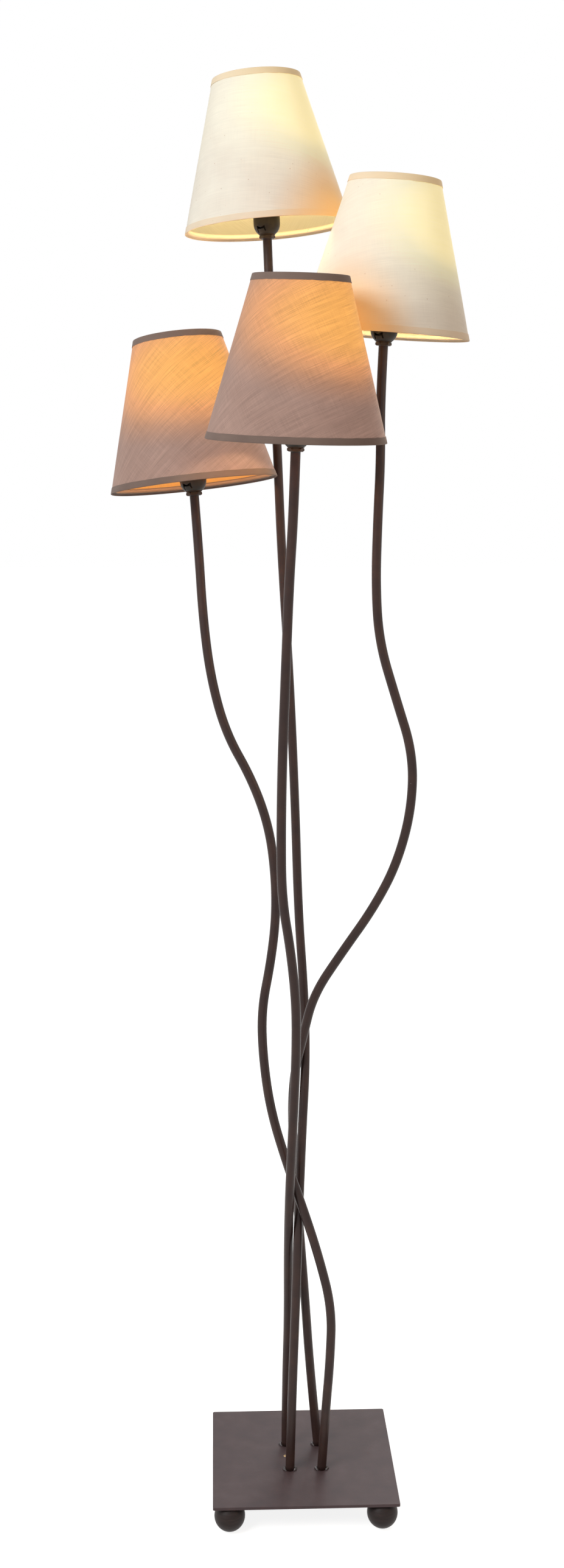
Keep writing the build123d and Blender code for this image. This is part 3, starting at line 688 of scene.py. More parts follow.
def cap_outline():
    """The cap's closed half outline: a bowl with a threaded boss in its floor."""
    outside = bulged((CAP_FOOT, 0), (CAP_RIM, CAP_DOME))
    inside = bulged((CAP_FOOT - CAP_WALL / 2, CAP_FLOOR), (CAP_RIM - CAP_WALL, CAP_DOME))
    rim = [(CAP_RIM, CAP_HEIGHT), (CAP_RIM - CAP_WALL, CAP_HEIGHT)]
    boss = [(CAP_BOSS, CAP_FLOOR), (CAP_BOSS, TUBE_ENTRY), (CAP_BORE, TUBE_ENTRY)]
    return [(CAP_BORE, 0), *outside, *rim, *inside[::-1], *boss]


def catch_cutter(where):
    """The prisms that cut the M round each tongue, from inside the wall to outside it."""
    form = bmesh.new()
    for angle in CATCH_AT:
        heading = Vector((cos(radians(angle)), sin(radians(angle)), 0))
        across = Vector((0, 0, 1)).cross(heading)
        near, far = ([form.verts.new(heading * reach + across * x * MM + Vector((0, 0, z * MM)))
                      for x, z in CATCH_OUTLINE] for reach in (CAP_BOSS + 0.6 * MM, 1.3 * CAP_RIM))
        form.faces.new(near)
        form.faces.new(far)
        for i in range(len(near)):
            form.faces.new((near[i - 1], near[i], far[i], far[i - 1]))
    form.transform(where)
    return new_piece("cutter", mesh_from(form, "cutter"))


for arm_name, arm in arms.items():
    form = turned(rounded(cap_outline(), 0.35 * MM), arm["holder_stand"], 96)
    cap = new_piece(f"{arm_name}_moulded_cap", mesh_from(form, "cap"), holder_plastic)
    cutter = catch_cutter(arm["holder_stand"])
    cut = cap.modifiers.new("catches", "BOOLEAN")
    cut.object = cutter
    cut.solver = "EXACT"
    settle(cap)
    bpy.data.objects.remove(cutter)
    cap.data.set_sharp_from_angle(angle=radians(35))
    hand_over(cap, "root", "holder_plastic", f"{arm_name}_holder_cap")
print("a cap has", len(cap.data.polygons), "faces")

# %% [markdown]
# ## Lock nuts
#
# A hexagon nut with a plain washer locks each cap on its tube. A nut's corners are turned
# off at 30 degrees before it is tapped, which leaves the curved edges that tell the eye it
# is a nut. So each ring of the nut is as wide as the hexagon or as the turned cone,
# whichever is less at that height.

# %% Lock nuts
NUT_FLATS = 15 * MM
NUT_HEIGHT = 4 * MM
NUT_CHAMFER = 1.0 * MM
NUT_BORE = 5.05 * MM
WASHER_RADIUS = 8.7 * MM
WASHER_HEIGHT = 1 * MM
NUT_SIDES = 96


def nut_ring(form, height, corner_limit):
    """One ring of a nut, at a height below the seat."""
    ring = []
    for i in range(NUT_SIDES):
        angle = 2 * pi * i / NUT_SIDES
        flat = NUT_FLATS / 2 / cos((angle % (pi / 3)) - pi / 6)
        radius = min(flat, corner_limit)
        ring.append(form.verts.new((radius * cos(angle), radius * sin(angle), height)))
    return ring


def add_nut(form, where):
    """A chamfered nut and its washer, hanging under a stand's origin."""
    made = bmesh.new()
    top, bottom = -WASHER_HEIGHT, -WASHER_HEIGHT - NUT_HEIGHT
    corner = NUT_FLATS / 2 / cos(pi / 6)
    levels = []
    for share in (0, 0.15, 0.35, 0.6, 1.0):
        limit = NUT_FLATS / 2 * 0.97 + (corner - NUT_FLATS / 2 * 0.97) * share
        levels.append((bottom + NUT_CHAMFER * share, limit))
    levels += [(top - NUT_CHAMFER * share, limit) for (_, limit), share in
               zip(reversed(levels), (1.0, 0.6, 0.35, 0.15, 0))]
    rings = [nut_ring(made, height, limit) for height, limit in levels]
    for height in (top, bottom):
        rings.append([made.verts.new((NUT_BORE * cos(2 * pi * i / NUT_SIDES),
                                      NUT_BORE * sin(2 * pi * i / NUT_SIDES), height))
                      for i in range(NUT_SIDES)])
    for ring, following in zip(rings, rings[1:] + rings[:1]):
        for i in range(NUT_SIDES):
            j = (i + 1) % NUT_SIDES
            made.faces.new((ring[i], ring[j], following[j], following[i]))
    made.transform(where)
    nut_mesh = mesh_from(made, "nut")
    washer = rounded([(NUT_BORE, top), (WASHER_RADIUS, top), (WASHER_RADIUS, 0), (NUT_BORE, 0)],
                     0.25 * MM)
    washer_mesh = mesh_from(turned(washer, where, NUT_SIDES), "washer")
    for mesh in (nut_mesh, washer_mesh):
        form.from_mesh(mesh)
        bpy.data.meshes.remove(mesh)


form = bmesh.new()
for arm in arms.values():
    add_nut(form, arm["holder_stand"])
nuts = new_piece("chamfered_lock_nuts", mesh_from(form, "nuts", 25), nut_coat)
hand_over(nuts, "root", "dark_nut", "lock_nuts")
print("lock nuts:", len(arms))

# %% [markdown]
# ## Cloth with the light behind it
#
# The shades are plain-woven cotton, glued to a thin white film and cut as a flat sector.
# Rolled up into a cone, the sector's straight threads run level at one side and steeply
# across it at another, so the weave has to follow the flat cut, not the cone. Each piece of
# cloth keeps its place on that cut, in metres, in an attribute that the material reads.
#
# The yarn is uneven: here and there a thick stretch, a slub, makes a darker streak against
# the light. With the bulb lit, the cloth glows most where it is nearest the bulb, so this
# painted glow is worked out from the distance to the bulb, in the shade's own frame, and put
# in as emission. Film, cloth and hem each let through a different share of it. Where it
# glows, the cloth's base colour is painted warmer as well, and a shade that hangs close
# beside a lit one gets a painted pool of that one's light.

# %% Shade sizes
SHADE_BOTTOM = 90 * MM        # radius of the lower rim
SHADE_TOP = 47.5 * MM
SHADE_HEIGHT = 160 * MM
CLOTH_WALL = 0.8 * MM         # cloth and film together
HEM_THICKNESS = 0.4 * MM
SLOPE = (SHADE_BOTTOM - SHADE_TOP) / SHADE_HEIGHT
CONE_SINE = sin(atan(SLOPE))
CUT_OUTER = SHADE_BOTTOM / CONE_SINE


def cloth_radius(height):
    """Outside of the cloth at a height above the lower rim."""
    return SHADE_BOTTOM - HEM_THICKNESS - SLOPE * height


def place_on_cut(angle, height, grain):
    """Where a point of the cone lies on the flat cut, turned to the cloth's grain."""
    reach = CUT_OUTER - height / cos(atan(SLOPE))
    flat = (angle - pi) * CONE_SINE + radians(grain)
    return reach * sin(flat), reach * cos(flat)


# %% Cloth materials
YARN = 0.9 * MM               # real yarn is half this, and too fine to show
SLUB_LENGTH = 34 * MM
SLUB_WIDTH = 0.65 * MM
BUNDLE_WIDTH = 3.5 * MM       # a run of like yarn shows as a broad faint band
BUNDLE_SHARE = 0.5
WARP_SHARE = 0.5
FLECK_SPACING = 9 * MM
FLECK_RADIUS = 0.4 * MM
GLOW_BEHIND = (8, 34, 106)    # in the shade's own frame, in millimetres
# The SPILL values place the painted pool of light that a lit neighbour throws on a shade.
SPILL_MIDDLE = (0, 0, 100 * MM)   # in the frame of the shade that the light comes from
SPILL_NEAR, SPILL_FAR = 66 * MM, 136 * MM


def streaks(tree, cut, along, length, width, detail=3.0):
    """Noise drawn out along the warp or the weft, as the yarn's thick and thin stretches."""
    scale = (1 / length, 1 / width, 1) if along == "weft" else (1 / width, 1 / length, 1)
    stretched = add_node(tree, "ShaderNodeMapping", {"Vector": cut, "Scale": scale})
    return add_node(tree, "ShaderNodeTexNoise",
                    {"Vector": stretched.outputs["Vector"], "Scale": 1.0, "Detail": detail,
                     "Roughness": 0.55}).outputs["Fac"]


def light_from(tree, middle, near, far):
    """Light that fades with the distance from a point, from 1 near it to 0 far from it."""
    place = add_node(tree, "ShaderNodeTexCoord").outputs["Object"]
    gap = add_node(tree, "ShaderNodeVectorMath", {0: place, 1: middle}, operation="DISTANCE")
    return add_node(tree, "ShaderNodeMapRange",
                    {"Value": gap.outputs["Value"], "From Min": far, "From Max": near},
                    interpolation_type="SMOOTHSTEP").outputs["Result"]


def bulb_light(tree, arm, cloth):
    """The painted glow of a shade's own bulb, round a point in front of its axis and behind."""
    front, behind = (light_from(tree, arm["shade_stand"] @ (Vector(middle) * MM),
                                cloth["near"] * MM, cloth["far"] * MM)
                     for middle in (arm["glow"], GLOW_BEHIND))
    return add_node(tree, "ShaderNodeMath", {0: front, 1: behind},
                    operation="MAXIMUM").outputs["Value"]


def scaled(tree, colour, share):
    """A colour times a share."""
    return add_node(tree, "ShaderNodeVectorMath", {0: colour, "Scale": share},
                    operation="SCALE").outputs["Vector"]


def woven_cloth(name, arm, cloth, yarns_and_glow_tint, glows, slub_share):
    """Plain-woven cotton with slubs, with its bulb's light and a neighbour's painted on it."""
    material, tree, shader = new_finish(name, Roughness=0.85, **{"Specular IOR Level": 0.25,
                                                                 "Sheen Weight": 0.15})
    cut = add_node(tree, "ShaderNodeAttribute", attribute_name="cut").outputs["Vector"]
    weft = streaks(tree, cut, "weft", SLUB_LENGTH, SLUB_WIDTH)
    warp = streaks(tree, cut, "warp", SLUB_LENGTH, SLUB_WIDTH)
    bundles = streaks(tree, cut, "weft", 2 * SLUB_LENGTH, BUNDLE_WIDTH)
    crossed = add_node(tree, "ShaderNodeMath", {0: warp, 1: WARP_SHARE, 2: weft},
                       operation="MULTIPLY_ADD").outputs[0]
    both = add_node(tree, "ShaderNodeMath", {0: bundles, 1: BUNDLE_SHARE, 2: crossed},
                    operation="MULTIPLY_ADD").outputs[0]
    middle = (1 + WARP_SHARE + BUNDLE_SHARE) / 2
    yarn = add_node(tree, "ShaderNodeMapRange",
                    {"Value": both, "From Min": middle - 0.3, "From Max": middle + 0.3,
                     "To Min": 1 - slub_share, "To Max": 1 + slub_share}).outputs["Result"]
    clouds = add_node(tree, "ShaderNodeTexNoise", {"Vector": cut, "Scale": 30.0, "Detail": 3.0})
    tones = add_node(tree, "ShaderNodeValToRGB", {"Fac": clouds.outputs["Fac"]})
    set_ramp(tones, (0.3, yarns_and_glow_tint[0]), (0.7, yarns_and_glow_tint[1]))
    cells = add_node(tree, "ShaderNodeTexVoronoi", {"Vector": cut, "Scale": 1 / FLECK_SPACING})
    fleck_colour, fleck_share = cloth["fleck"]
    spot = add_node(tree, "ShaderNodeMapRange",
                    {"Value": cells.outputs["Distance"], "From Min": FLECK_RADIUS / FLECK_SPACING,
                     "From Max": 2 * FLECK_RADIUS / FLECK_SPACING, "To Min": fleck_share,
                     "To Max": 0.0}).outputs["Result"]
    flecked = add_node(tree, "ShaderNodeMix",
                       {0: spot, MIX_A: tones.outputs["Color"], MIX_B: linear(fleck_colour)},
                       data_type="RGBA").outputs[MIX_RESULT]
    # The bulb's light through the cloth, painted on as a glow.
    glow = bulb_light(tree, arm, cloth)
    # Painted light: the base colour goes over to the glow tint where the bulb's glow is.
    base_with_painted_light = add_node(tree, "ShaderNodeMix",
                      {0: glow, MIX_A: flecked, MIX_B: linear(yarns_and_glow_tint[2])},
                      data_type="RGBA").outputs[MIX_RESULT]
    hue = add_node(tree, "ShaderNodeValToRGB", {"Fac": glow})
    set_ramp(hue, *glows)
    through = add_node(tree, "ShaderNodeMath", {0: yarn, 1: yarn}, operation="MULTIPLY").outputs[0]
    unfleck = add_node(tree, "ShaderNodeMath", {0: 1.0, 1: spot}, operation="SUBTRACT").outputs[0]
    seen = scaled(tree, scaled(tree, hue.outputs["Color"], through), unfleck)
    # Painted light: a shade hung close beside a lit one gets a pool of that one's light, painted into
    # its base colour and glow.
    if "lit_by" in arm:
        middle = arms[arm["lit_by"]]["shade_stand"] @ Vector(SPILL_MIDDLE)
        spill = light_from(tree, middle, SPILL_NEAR, SPILL_FAR)
        base_with_painted_light = add_node(tree, "ShaderNodeMix",
                          {0: spill, MIX_A: base_with_painted_light, MIX_B: linear(cloth["spill"][0])},
                          data_type="RGBA").outputs[MIX_RESULT]
        seen = add_node(tree, "ShaderNodeMix",
                        {0: spill, MIX_A: seen, MIX_B: linear(cloth["spill"][1])},
                        data_type="RGBA").outputs[MIX_RESULT]
    tree.links.new(scaled(tree, base_with_painted_light, yarn), shader.inputs["Base Color"])
    tree.links.new(seen, shader.inputs["Emission Color"])
    shader.inputs["Emission Strength"].default_value = 1.0
    over = add_node(tree, "ShaderNodeTexWave", {"Vector": cut, "Scale": 1 / YARN},
                    wave_type="BANDS", bands_direction="X")
    under = add_node(tree, "ShaderNodeTexWave", {"Vector": cut, "Scale": 1 / YARN},
                     wave_type="BANDS", bands_direction="Y")
    weave = add_node(tree, "ShaderNodeMath", {0: over.outputs["Fac"], 1: under.outputs["Fac"]},
                     operation="MAXIMUM").outputs[0]
    relief = add_node(tree, "ShaderNodeMath", {0: weave, 1: 0.4, 2: both},
                      operation="MULTIPLY_ADD").outputs[0]
    bump = add_node(tree, "ShaderNodeBump",
                    {"Height": relief, "Strength": 0.4, "Distance": 0.1 * MM})
    tree.links.new(bump.outputs["Normal"], shader.inputs["Normal"])
    return material


def lining_film(name, arm, cloth):
    """The film inside a shade: smooth, faintly embossed by the weave, and brightly lit."""
    material, tree, shader = new_finish(name, Roughness=0.5)
    cut = add_node(tree, "ShaderNodeAttribute", attribute_name="cut").outputs["Vector"]
    mark = streaks(tree, cut, "weft", SLUB_LENGTH, SLUB_WIDTH)
    tones = add_node(tree, "ShaderNodeValToRGB", {"Fac": mark})
    set_ramp(tones, (0.3, cloth["film"][0]), (0.7, cloth["film"][1]))
    tree.links.new(tones.outputs["Color"], shader.inputs["Base Color"])
    # The film's emission is a painted glow of the bulb, over the real lamp's light.
    hue = add_node(tree, "ShaderNodeValToRGB", {"Fac": bulb_light(tree, arm, cloth)})
    set_ramp(hue, *cloth["film_glows"])
    tree.links.new(hue.outputs["Color"], shader.inputs["Emission Color"])
    shader.inputs["Emission Strength"].default_value = 1.0
    return material


# The third yarn and tape colour is a painted glow tint, which the base colour takes where the bulb
# lights the cloth; the spill pair is the painted base and glow colour of the light that a lit
# neighbour throws.
CLOTHS = {
    "white": {
        "near": 34, "far": 112,
        "yarns_and_glow_tint": ("#ede4d4", "#f3ecdc", "#f6efd8"),
        "glows": ((0.0, "#000000"), (0.45, "#484a40"), (0.8, "#787a54"), (1.0, "#aca060")),
        "slub": 0.05, "fleck": ("#a9794c", 0.45), "spill": ("#dcb88a", "#a06c2c"),
        "tape": ("#ebd8bc", "#f0dec4", "#f4deb4"),
        "tape_glows": ((0.0, "#000000"), (1.0, "#403418")),
        "film": ("#a0a08a", "#acac96"),
        "film_glows": ((0.0, "#241c10"), (1.0, "#5c4c2c")),
    },
    "taupe": {
        "near": 38, "far": 100,
        "yarns_and_glow_tint": ("#7f6a60", "#8a746a", "#8a6c48"),
        "glows": ((0.0, "#6e554c"), (0.3, "#94664c"), (0.65, "#c88452"), (1.0, "#e29e4c")),
        "slub": 0.16, "fleck": ("#5a463c", 0.25), "spill": ("#5c4024", "#ac7430"),
        "tape": ("#725f56", "#7c695f", "#7c695f"),
        "tape_glows": ((0.0, "#000000"), (1.0, "#181008")),
        "film": ("#a87e44", "#b88c4e"),
        "film_glows": ((0.0, "#502e10"), (1.0, "#9e6026")),
    },
}

# %% [markdown]
# ## Fabric shades
#
# A shade's skin is one sheet of cloth on film, rolled up and glued along an overlap of a
# few millimetres, which stands a little proud and is turned away from the room's middle. It
# is built as one closed shell: the cloth outside, the film inside and a cut edge at each
# rim. The cone is never quite round, so it wanders by a fraction of a millimetre.

# %% Fabric shades
SHADE_COLUMNS = 180
SHADE_ROWS = 26
SEAM_ANGLE = 8 * MM / SHADE_BOTTOM     # an 8 mm overlap, as an angle round the lower rim
SEAM_LIFT = 0.35 * MM
OUT_OF_ROUND = 0.35 * MM
GRAIN = {"high": 4, "right": -3, "front": -26, "left": -40}   # the cloth's grain, in degrees


def shell_skin(arm, column_angles, heights, depth):
    """Points of the shell, one ring for each height, this deep under the cloth."""
    rings = []
    for height in heights:
        ring = []
        for angle in column_angles:
            around = angle + radians(arm["seam_at"])
            drift = noise.noise(Vector((2 * cos(around), 2 * sin(around), height * 12)))
            lift = SEAM_LIFT if 0 < angle < SEAM_ANGLE and depth == 0 else 0
            radius = cloth_radius(height) - depth + lift + OUT_OF_ROUND * drift
            ring.append(Vector((radius * cos(around), radius * sin(around), height)))
        rings.append(ring)
    return rings


def build_shade(arm_name, arm):
    """A shade's cloth and film as one closed shell that knows its flat cut."""
    step = 2 * pi / SHADE_COLUMNS
    edge = 0.1 * step
    angles = sorted([i * step for i in range(SHADE_COLUMNS)]
                    + [edge, SEAM_ANGLE - edge, SEAM_ANGLE])
    low, high = HEM_THICKNESS, SHADE_HEIGHT - HEM_THICKNESS
    heights = [low + (high - low) * i / SHADE_ROWS for i in range(SHADE_ROWS + 1)]
    outer = shell_skin(arm, angles, heights, 0)
    inner = shell_skin(arm, angles, heights, CLOTH_WALL)
    rings = outer + inner[::-1]
    levels = heights + heights[::-1]
    points = [arm["shade_stand"] @ point for ring in rings for point in ring]
    count = len(angles)
    faces, cuts, finishes = [], [], []
    for row in range(len(rings)):
        following = (row + 1) % len(rings)
        for i in range(count):
            j = (i + 1) % count
            faces.append((row * count + i, row * count + j,
                          following * count + j, following * count + i))
            end = angles[j] if j else 2 * pi
            for angle, level in ((angles[i], levels[row]), (end, levels[row]),
                                 (end, levels[following]), (angles[i], levels[following])):
                cuts.append((*place_on_cut(angle, level, GRAIN[arm_name]), 0.0))
            finishes.append(int(len(heights) - 1 < row < len(rings) - 1))
    mesh = bpy.data.meshes.new("shade")
    mesh.from_pydata(points, [], faces)
    cut = mesh.attributes.new("cut", "FLOAT_VECTOR", "CORNER")
    cut.data.foreach_set("vector", [value for place in cuts for value in place])
    mesh.polygons.foreach_set("material_index", finishes)
    mesh.shade_smooth()
    mesh.set_sharp_from_angle(angle=radians(50))
    return mesh


for arm_name, arm in arms.items():
    cloth = CLOTHS[arm["cloth"]]
    outside = woven_cloth(f"{arm_name}_woven_cotton", arm, cloth, cloth["yarns_and_glow_tint"], cloth["glows"],
                          cloth["slub"])
    inside = lining_film(f"{arm_name}_lining_film", arm, cloth)
    shade = new_piece(f"{arm_name}_cloth_shade", build_shade(arm_name, arm), outside, inside)
    hand_over(shade, f"{arm_name}_shade_set", f"{arm['cloth']}_fabric", f"{arm_name}_shade")
    arm["shade"] = shade
print("a shade has", len(shade.data.polygons), "faces")

# %% [markdown]
# ## Hem tapes
#
# A woven tape is folded over each rim and glued. Outside it shows as a flat band, and inside
# it rolls round the wire ring that keeps the rim round. The tape is one strip of an even
# thickness, so its section is drawn as a line and then given that thickness. Its free edge
# wavers a little, as a tape does that is laid by hand.

# %% Hem tapes
HEM_WIDTH = 7 * MM
HEM_WAVER = 0.35 * MM
WIRE_DIAMETER = 2.5 * MM
WIRE_INSET = 3.4 * MM         # rim to the middle of the wire in it
WIRE_GAP = 0.1 * MM
HEM_COLUMNS = 180
ROLL_STEPS = 7


def wire_offset():
    """Middle of a wire that lies just inside the film, measured in from the cloth."""
    return CLOTH_WALL + WIRE_GAP + WIRE_DIAMETER / 2


def hem_line(width):
    """The tape's middle line: out from the cloth, and in from the rim."""
    half = HEM_THICKNESS / 2
    line = [(half, width), (half, width * 0.6), (half, 1.0 * MM), (0.5 * half, 0.45 * MM),
            (-0.4 * MM, half), (-0.85 * MM, 0.5 * MM), (-1.2 * MM, 1.3 * MM)]
    roll = WIRE_DIAMETER / 2 + 0.15 * MM + half
    line += arc((-wire_offset(), WIRE_INSET), roll, -60, -250, ROLL_STEPS)
    return line + [(-CLOTH_WALL - half, 6.0 * MM), (-CLOTH_WALL - half, 7.2 * MM)]


def strip(line, thickness):
    """A closed outline this thick about a line."""
    left, right = [], []
    for i, point in enumerate(line):
        before, after = line[max(i - 1, 0)], line[min(i + 1, len(line) - 1)]
        run = (Vector(after) - Vector(before)).normalized()
        aside = Vector((run.y, -run.x)) * thickness / 2
        left.append(Vector(point) + aside)
        right.append(Vector(point) - aside)
    return left + right[::-1]


def build_hems(arm_name, arm):
    """Both hem tapes of a shade."""
    points, faces, cuts = [], [], []
    for rim, inward in ((0, 1), (SHADE_HEIGHT, -1)):
        base = len(points)
        for column in range(HEM_COLUMNS):
            around = 2 * pi * column / HEM_COLUMNS + radians(arm["seam_at"])
            spot = Vector((9 * cos(around), 9 * sin(around), rim * 50))
            section = strip(hem_line(HEM_WIDTH + HEM_WAVER * noise.noise(spot)), HEM_THICKNESS)
            for out, depth in section:
                height = rim + inward * depth
                radius = cloth_radius(height) + out
                points.append(Vector((radius * cos(around), radius * sin(around), height)))
        count = len(section)
        for column in range(HEM_COLUMNS):
            following = (column + 1) % HEM_COLUMNS
            for i in range(count):
                j = (i + 1) % count
                corners = (base + column * count + i, base + column * count + j,
                           base + following * count + j, base + following * count + i)
                faces.append(corners if inward > 0 else corners[::-1])
                ends = [(column, i), (column, j), (column + 1, j), (column + 1, i)]
                for end, k in ends if inward > 0 else ends[::-1]:
                    length = 2 * pi * cloth_radius(rim) * end / HEM_COLUMNS
                    cuts.append((length, section[k][1] - section[k][0], 0.0))
    mesh = bpy.data.meshes.new("hems")
    mesh.from_pydata([arm["shade_stand"] @ point for point in points], [], faces)
    cut = mesh.attributes.new("cut", "FLOAT_VECTOR", "CORNER")
    cut.data.foreach_set("vector", [value for place in cuts for value in place])
    mesh.shade_smooth()
    mesh.set_sharp_from_angle(angle=radians(60))
    return mesh


for arm_name, arm in arms.items():
    cloth = CLOTHS[arm["cloth"]]
    tape = woven_cloth(f"{arm_name}_hem_tape", arm, cloth, cloth["tape"], cloth["tape_glows"],
                       cloth["slub"] / 3)
    hems = new_piece(f"{arm_name}_hem_tapes", build_hems(arm_name, arm), tape)
    hand_over(hems, f"{arm_name}_shade_set", f"{arm['cloth']}_tape", f"{arm_name}_shade_hems")
print("a pair of hems has", len(hems.data.polygons), "faces")

# %% [markdown]
# ## Candle bulbs
#
# Each bulb is a screw-base candle lamp with an opal glass. The glass swells from its neck to
# a belly and draws in to a blunt tip. Only the bulb's own solid knows where its cap ends, and
# the glass's outline is given here as heights above the lampholder's seat. Lit, the opal
# looks evenly bright.

# %% Opal glass
BULB_NECK, BULB_BELLY, BULB_TIP = 46 * MM, 77 * MM, 125 * MM   # heights above the seat
BULB_GLASS_RADII = [          # share of the way from neck to tip, and radius
    (0.00, 6.4), (0.05, 7.6), (0.12, 10.2), (0.22, 14.2), (0.32, 16.6), (0.39, 17.5),
    (0.52, 16.8), (0.64, 14.8), (0.76, 11.6), (0.86, 8.4), (0.94, 5.2), (0.985, 2.8), (1.00, 0.0),
]
BULB_WALL = 0.8 * MM
BULB_COLOUR = "#ffd9a0"
BULB_STRENGTH = 6.0


def opal_glass():
    """White-lined glass, lit evenly from inside."""
    material, tree, shader = new_finish("opal_glass", Roughness=0.28, **{"IOR": 1.5})
    place = add_node(tree, "ShaderNodeTexCoord").outputs["Object"]
    film = add_node(tree, "ShaderNodeTexNoise", {"Vector": place, "Scale": 60.0, "Detail": 2.0})
    tones = add_node(tree, "ShaderNodeValToRGB", {"Fac": film.outputs["Fac"]})
    set_ramp(tones, (0.35, "#f3eee2"), (0.65, "#faf6ee"))
    tree.links.new(tones.outputs["Color"], shader.inputs["Base Color"])
    shader.inputs["Emission Color"].default_value = linear(BULB_COLOUR)
    shader.inputs["Emission Strength"].default_value = BULB_STRENGTH
    return material


opal = opal_glass()


def bulb_outline():
    """The glass's closed half outline: its outside from neck to tip, and its inside back."""
    length = BULB_TIP - BULB_NECK
    outside = [(radius * MM, BULB_NECK + share * length) for share, radius in BULB_GLASS_RADII]
    inside = [(max(radius - BULB_WALL, 0) if radius > BULB_WALL else 0,
               min(height, BULB_TIP - BULB_WALL)) for radius, height in outside]
    return outside + inside[::-1]


LAMP_WATTS = 0.70
LAMP_RADIUS = 14 * MM
LAMP_COLOUR = "#ffdfb4"

for arm_name, arm in arms.items():
    form = turned(bulb_outline(), arm["holder_stand"], 64)
    glass = new_piece(f"{arm_name}_candle_glass", mesh_from(form, "glass", 70), opal)
    glass.visible_shadow = False
    hand_over(glass, f"{arm_name}_bulb", "opal_glass", f"{arm_name}_bulb_glass")
    glow_lamp = bpy.data.lights.new(f"{arm_name}_bulb_light", "POINT")
    glow_lamp.energy = LAMP_WATTS
    glow_lamp.shadow_soft_size = LAMP_RADIUS
    glow_lamp.color = linear(LAMP_COLOUR)[:3]
    holder = bpy.data.objects.new(glow_lamp.name, glow_lamp)
    holder.location = arm["holder_stand"] @ Vector((0, 0, BULB_BELLY))
    bpy.context.scene.collection.objects.link(holder)
print("bulbs:", len(arms))

# %% [markdown]
# ## Pieces whose solids are right already
#
# The frame's own solids keep their shape where it is plain and exact, and only get their
# finish: the plate, the studs, the box under the plate, the lampholders' threads and what is
# inside them.

# %% Finishes for the frame's own pieces
FELT_FIBRE = 0.6 * MM


def wool_felt():
    """Pressed grey felt: matt, with a fuzz of short fibres."""
    material, tree, shader = new_finish("pressed_wool_felt", Roughness=0.95,
                                        **{"Sheen Weight": 0.4})
    place = add_node(tree, "ShaderNodeTexCoord").outputs["Object"]
    fibres = add_node(tree, "ShaderNodeTexNoise",
                      {"Vector": place, "Scale": 1 / FELT_FIBRE, "Detail": 4.0})
    tones = add_node(tree, "ShaderNodeValToRGB", {"Fac": fibres.outputs["Fac"]})
    set_ramp(tones, (0.3, "#4a4744"), (0.7, "#66625e"))
    tree.links.new(tones.outputs["Color"], shader.inputs["Base Color"])
    lumpy(tree, shader, place, FELT_FIBRE, 0.2 * MM)
    return material


felt = wool_felt()
wire_enamel = moulded_plastic("dipped_white_enamel", "#efe9dc", "#f6f1e6", 0.35, 0.02 * MM)

carried = {
    "base_plate": plate_coat, "foot_studs": zinc, "foot_pads": felt, "junction_box": box_plastic,
    "box_screws": zinc, "terminal_block": block_plastic, "cord_gland": gland_rubber,
    "earth_screw": dull_brass, "inner_leads": lead_sheath, "screw_shells": brass,
}
for arm_name in arms:
    carried[f"{arm_name}_holder_body"] = holder_plastic
    carried[f"{arm_name}_shade_collar"] = holder_plastic
    carried[f"{arm_name}_centre_contact"] = brass
    carried[f"{arm_name}_bulb_cap"] = bulb_aluminium
    carried[f"{arm_name}_shade_fitter"] = wire_enamel
    carried[f"{arm_name}_shade_top_wire"] = wire_enamel

for node, finish in carried.items():
    for slot in bpy.data.objects[node].material_slots:
        slot.material = finish
print("solids with a finish:", len(carried))

# %% [markdown]
# ## Light and floor
#
# One large soft lamp at the upper left is the main light, a weak one at the right opens the
# shadows, and an even white world fills in the rest. The floor is a plain pale sheet. The
# background is white where the camera, a reflection or a refraction sees it, so the world
# only lights the lamp as much as a studio's walls would.

# %% Lamps, world and floor
KEY_PLACE, KEY_AIM, KEY_SIDE, KEY_WATTS = (-1.9, -1.7, 2.3), (0, 0, 0.9), 1.2, 50.0
FILL_PLACE, FILL_AIM, FILL_SIDE, FILL_WATTS = (1.9, -0.9, 1.5), (0, 0, 1.2), 0.8, 7.0
FILL_COLOUR = "#ffc890"
BACK_PLACE, BACK_AIM, BACK_SIDE, BACK_WATTS = (0.9, 2.3, 2.1), (0, 0, 0.9), 1.4, 26.0
WORLD_FILL = 0.40


def area_lamp(name, place, aim, side, watts, colour="#ffffff"):
    """A square area lamp at a place, aimed at a point."""
    lamp = bpy.data.lights.new(name, "AREA")
    lamp.size = side
    lamp.energy = watts
    lamp.color = linear(colour)[:3]
    holder = bpy.data.objects.new(name, lamp)
    holder.location = place
    holder.rotation_euler = (Vector(aim) - Vector(place)).to_track_quat("-Z", "Y").to_euler()
    bpy.context.scene.collection.objects.link(holder)


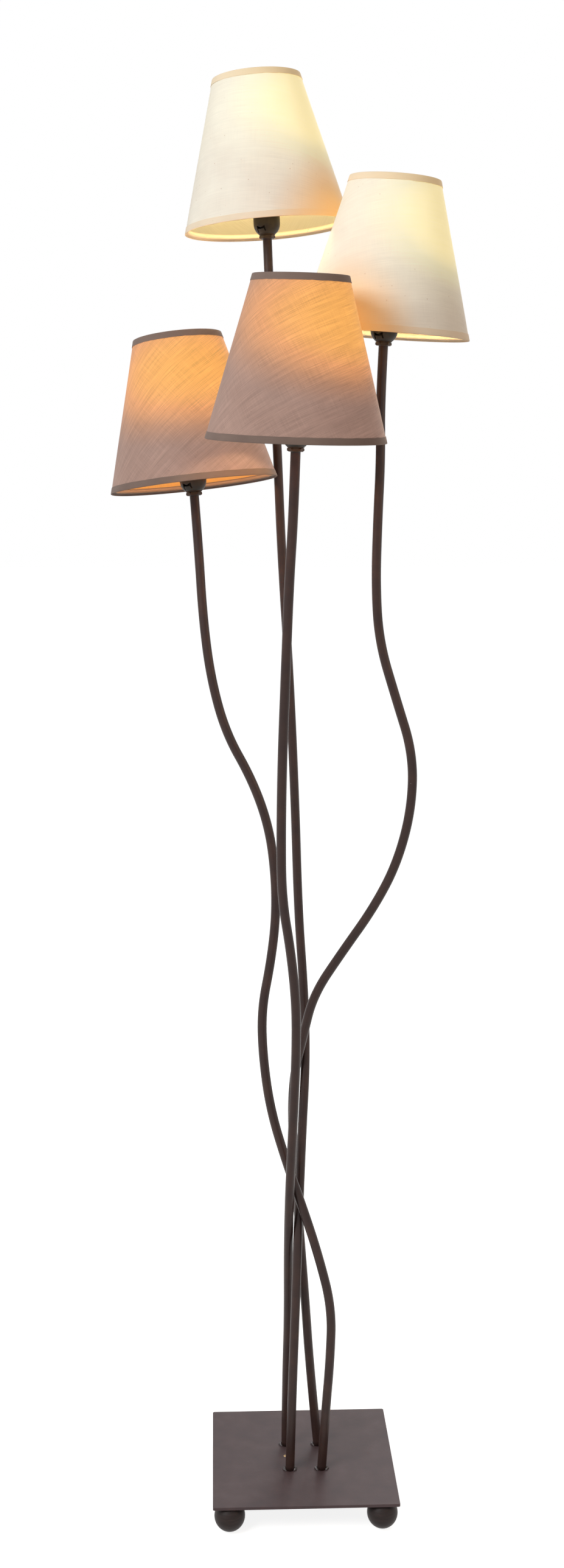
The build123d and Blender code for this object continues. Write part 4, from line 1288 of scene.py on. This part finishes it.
area_lamp("key_lamp", KEY_PLACE, KEY_AIM, KEY_SIDE, KEY_WATTS)
area_lamp("fill_lamp", FILL_PLACE, FILL_AIM, FILL_SIDE, FILL_WATTS, FILL_COLOUR)
area_lamp("back_lamp", BACK_PLACE, BACK_AIM, BACK_SIDE, BACK_WATTS)


def seen_directly(tree):
    """1 for a ray from the camera, a reflection or a refraction, and 0 for the rest."""
    path = add_node(tree, "ShaderNodeLightPath").outputs
    some = add_node(tree, "ShaderNodeMath",
                    {0: path["Is Camera Ray"], 1: path["Is Glossy Ray"]}, operation="MAXIMUM")
    return add_node(tree, "ShaderNodeMath",
                    {0: some.outputs["Value"], 1: path["Is Transmission Ray"]},
                    operation="MAXIMUM").outputs["Value"]


world = bpy.data.worlds.new("studio")
bpy.context.scene.world = world
world.use_nodes = True
world.node_tree.nodes.clear()
strength = add_node(world.node_tree, "ShaderNodeMapRange",
                    {"Value": seen_directly(world.node_tree), "To Min": WORLD_FILL, "To Max": 1.0})
air = add_node(world.node_tree, "ShaderNodeBackground",
               {"Color": (1.0, 1.0, 1.0, 1.0), "Strength": strength.outputs["Result"]})
add_node(world.node_tree, "ShaderNodeOutputWorld", {"Surface": air.outputs["Background"]})

FLOOR_SIDE = 40.0
FLOOR_LIFT = 0.84             # light added to the floor where it is looked at
floor_finish, floor_tree, floor_shader = new_finish("pale_studio_floor", Roughness=0.9)
floor_shader.inputs["Base Color"].default_value = linear("#b4b4b2")
floor_shader.inputs["Emission Color"].default_value = (1.0, 1.0, 1.0, 1.0)
lift = add_node(floor_tree, "ShaderNodeMath",
                {0: seen_directly(floor_tree), 1: FLOOR_LIFT}, operation="MULTIPLY")
floor_tree.links.new(lift.outputs["Value"], floor_shader.inputs["Emission Strength"])
form = bmesh.new()
bmesh.ops.create_grid(form, x_segments=1, y_segments=1, size=FLOOR_SIDE / 2)
floor = new_piece("studio_floor", mesh_from(form, "studio_floor"), floor_finish)

scene = bpy.context.scene
scene.view_settings.view_transform = "Standard"
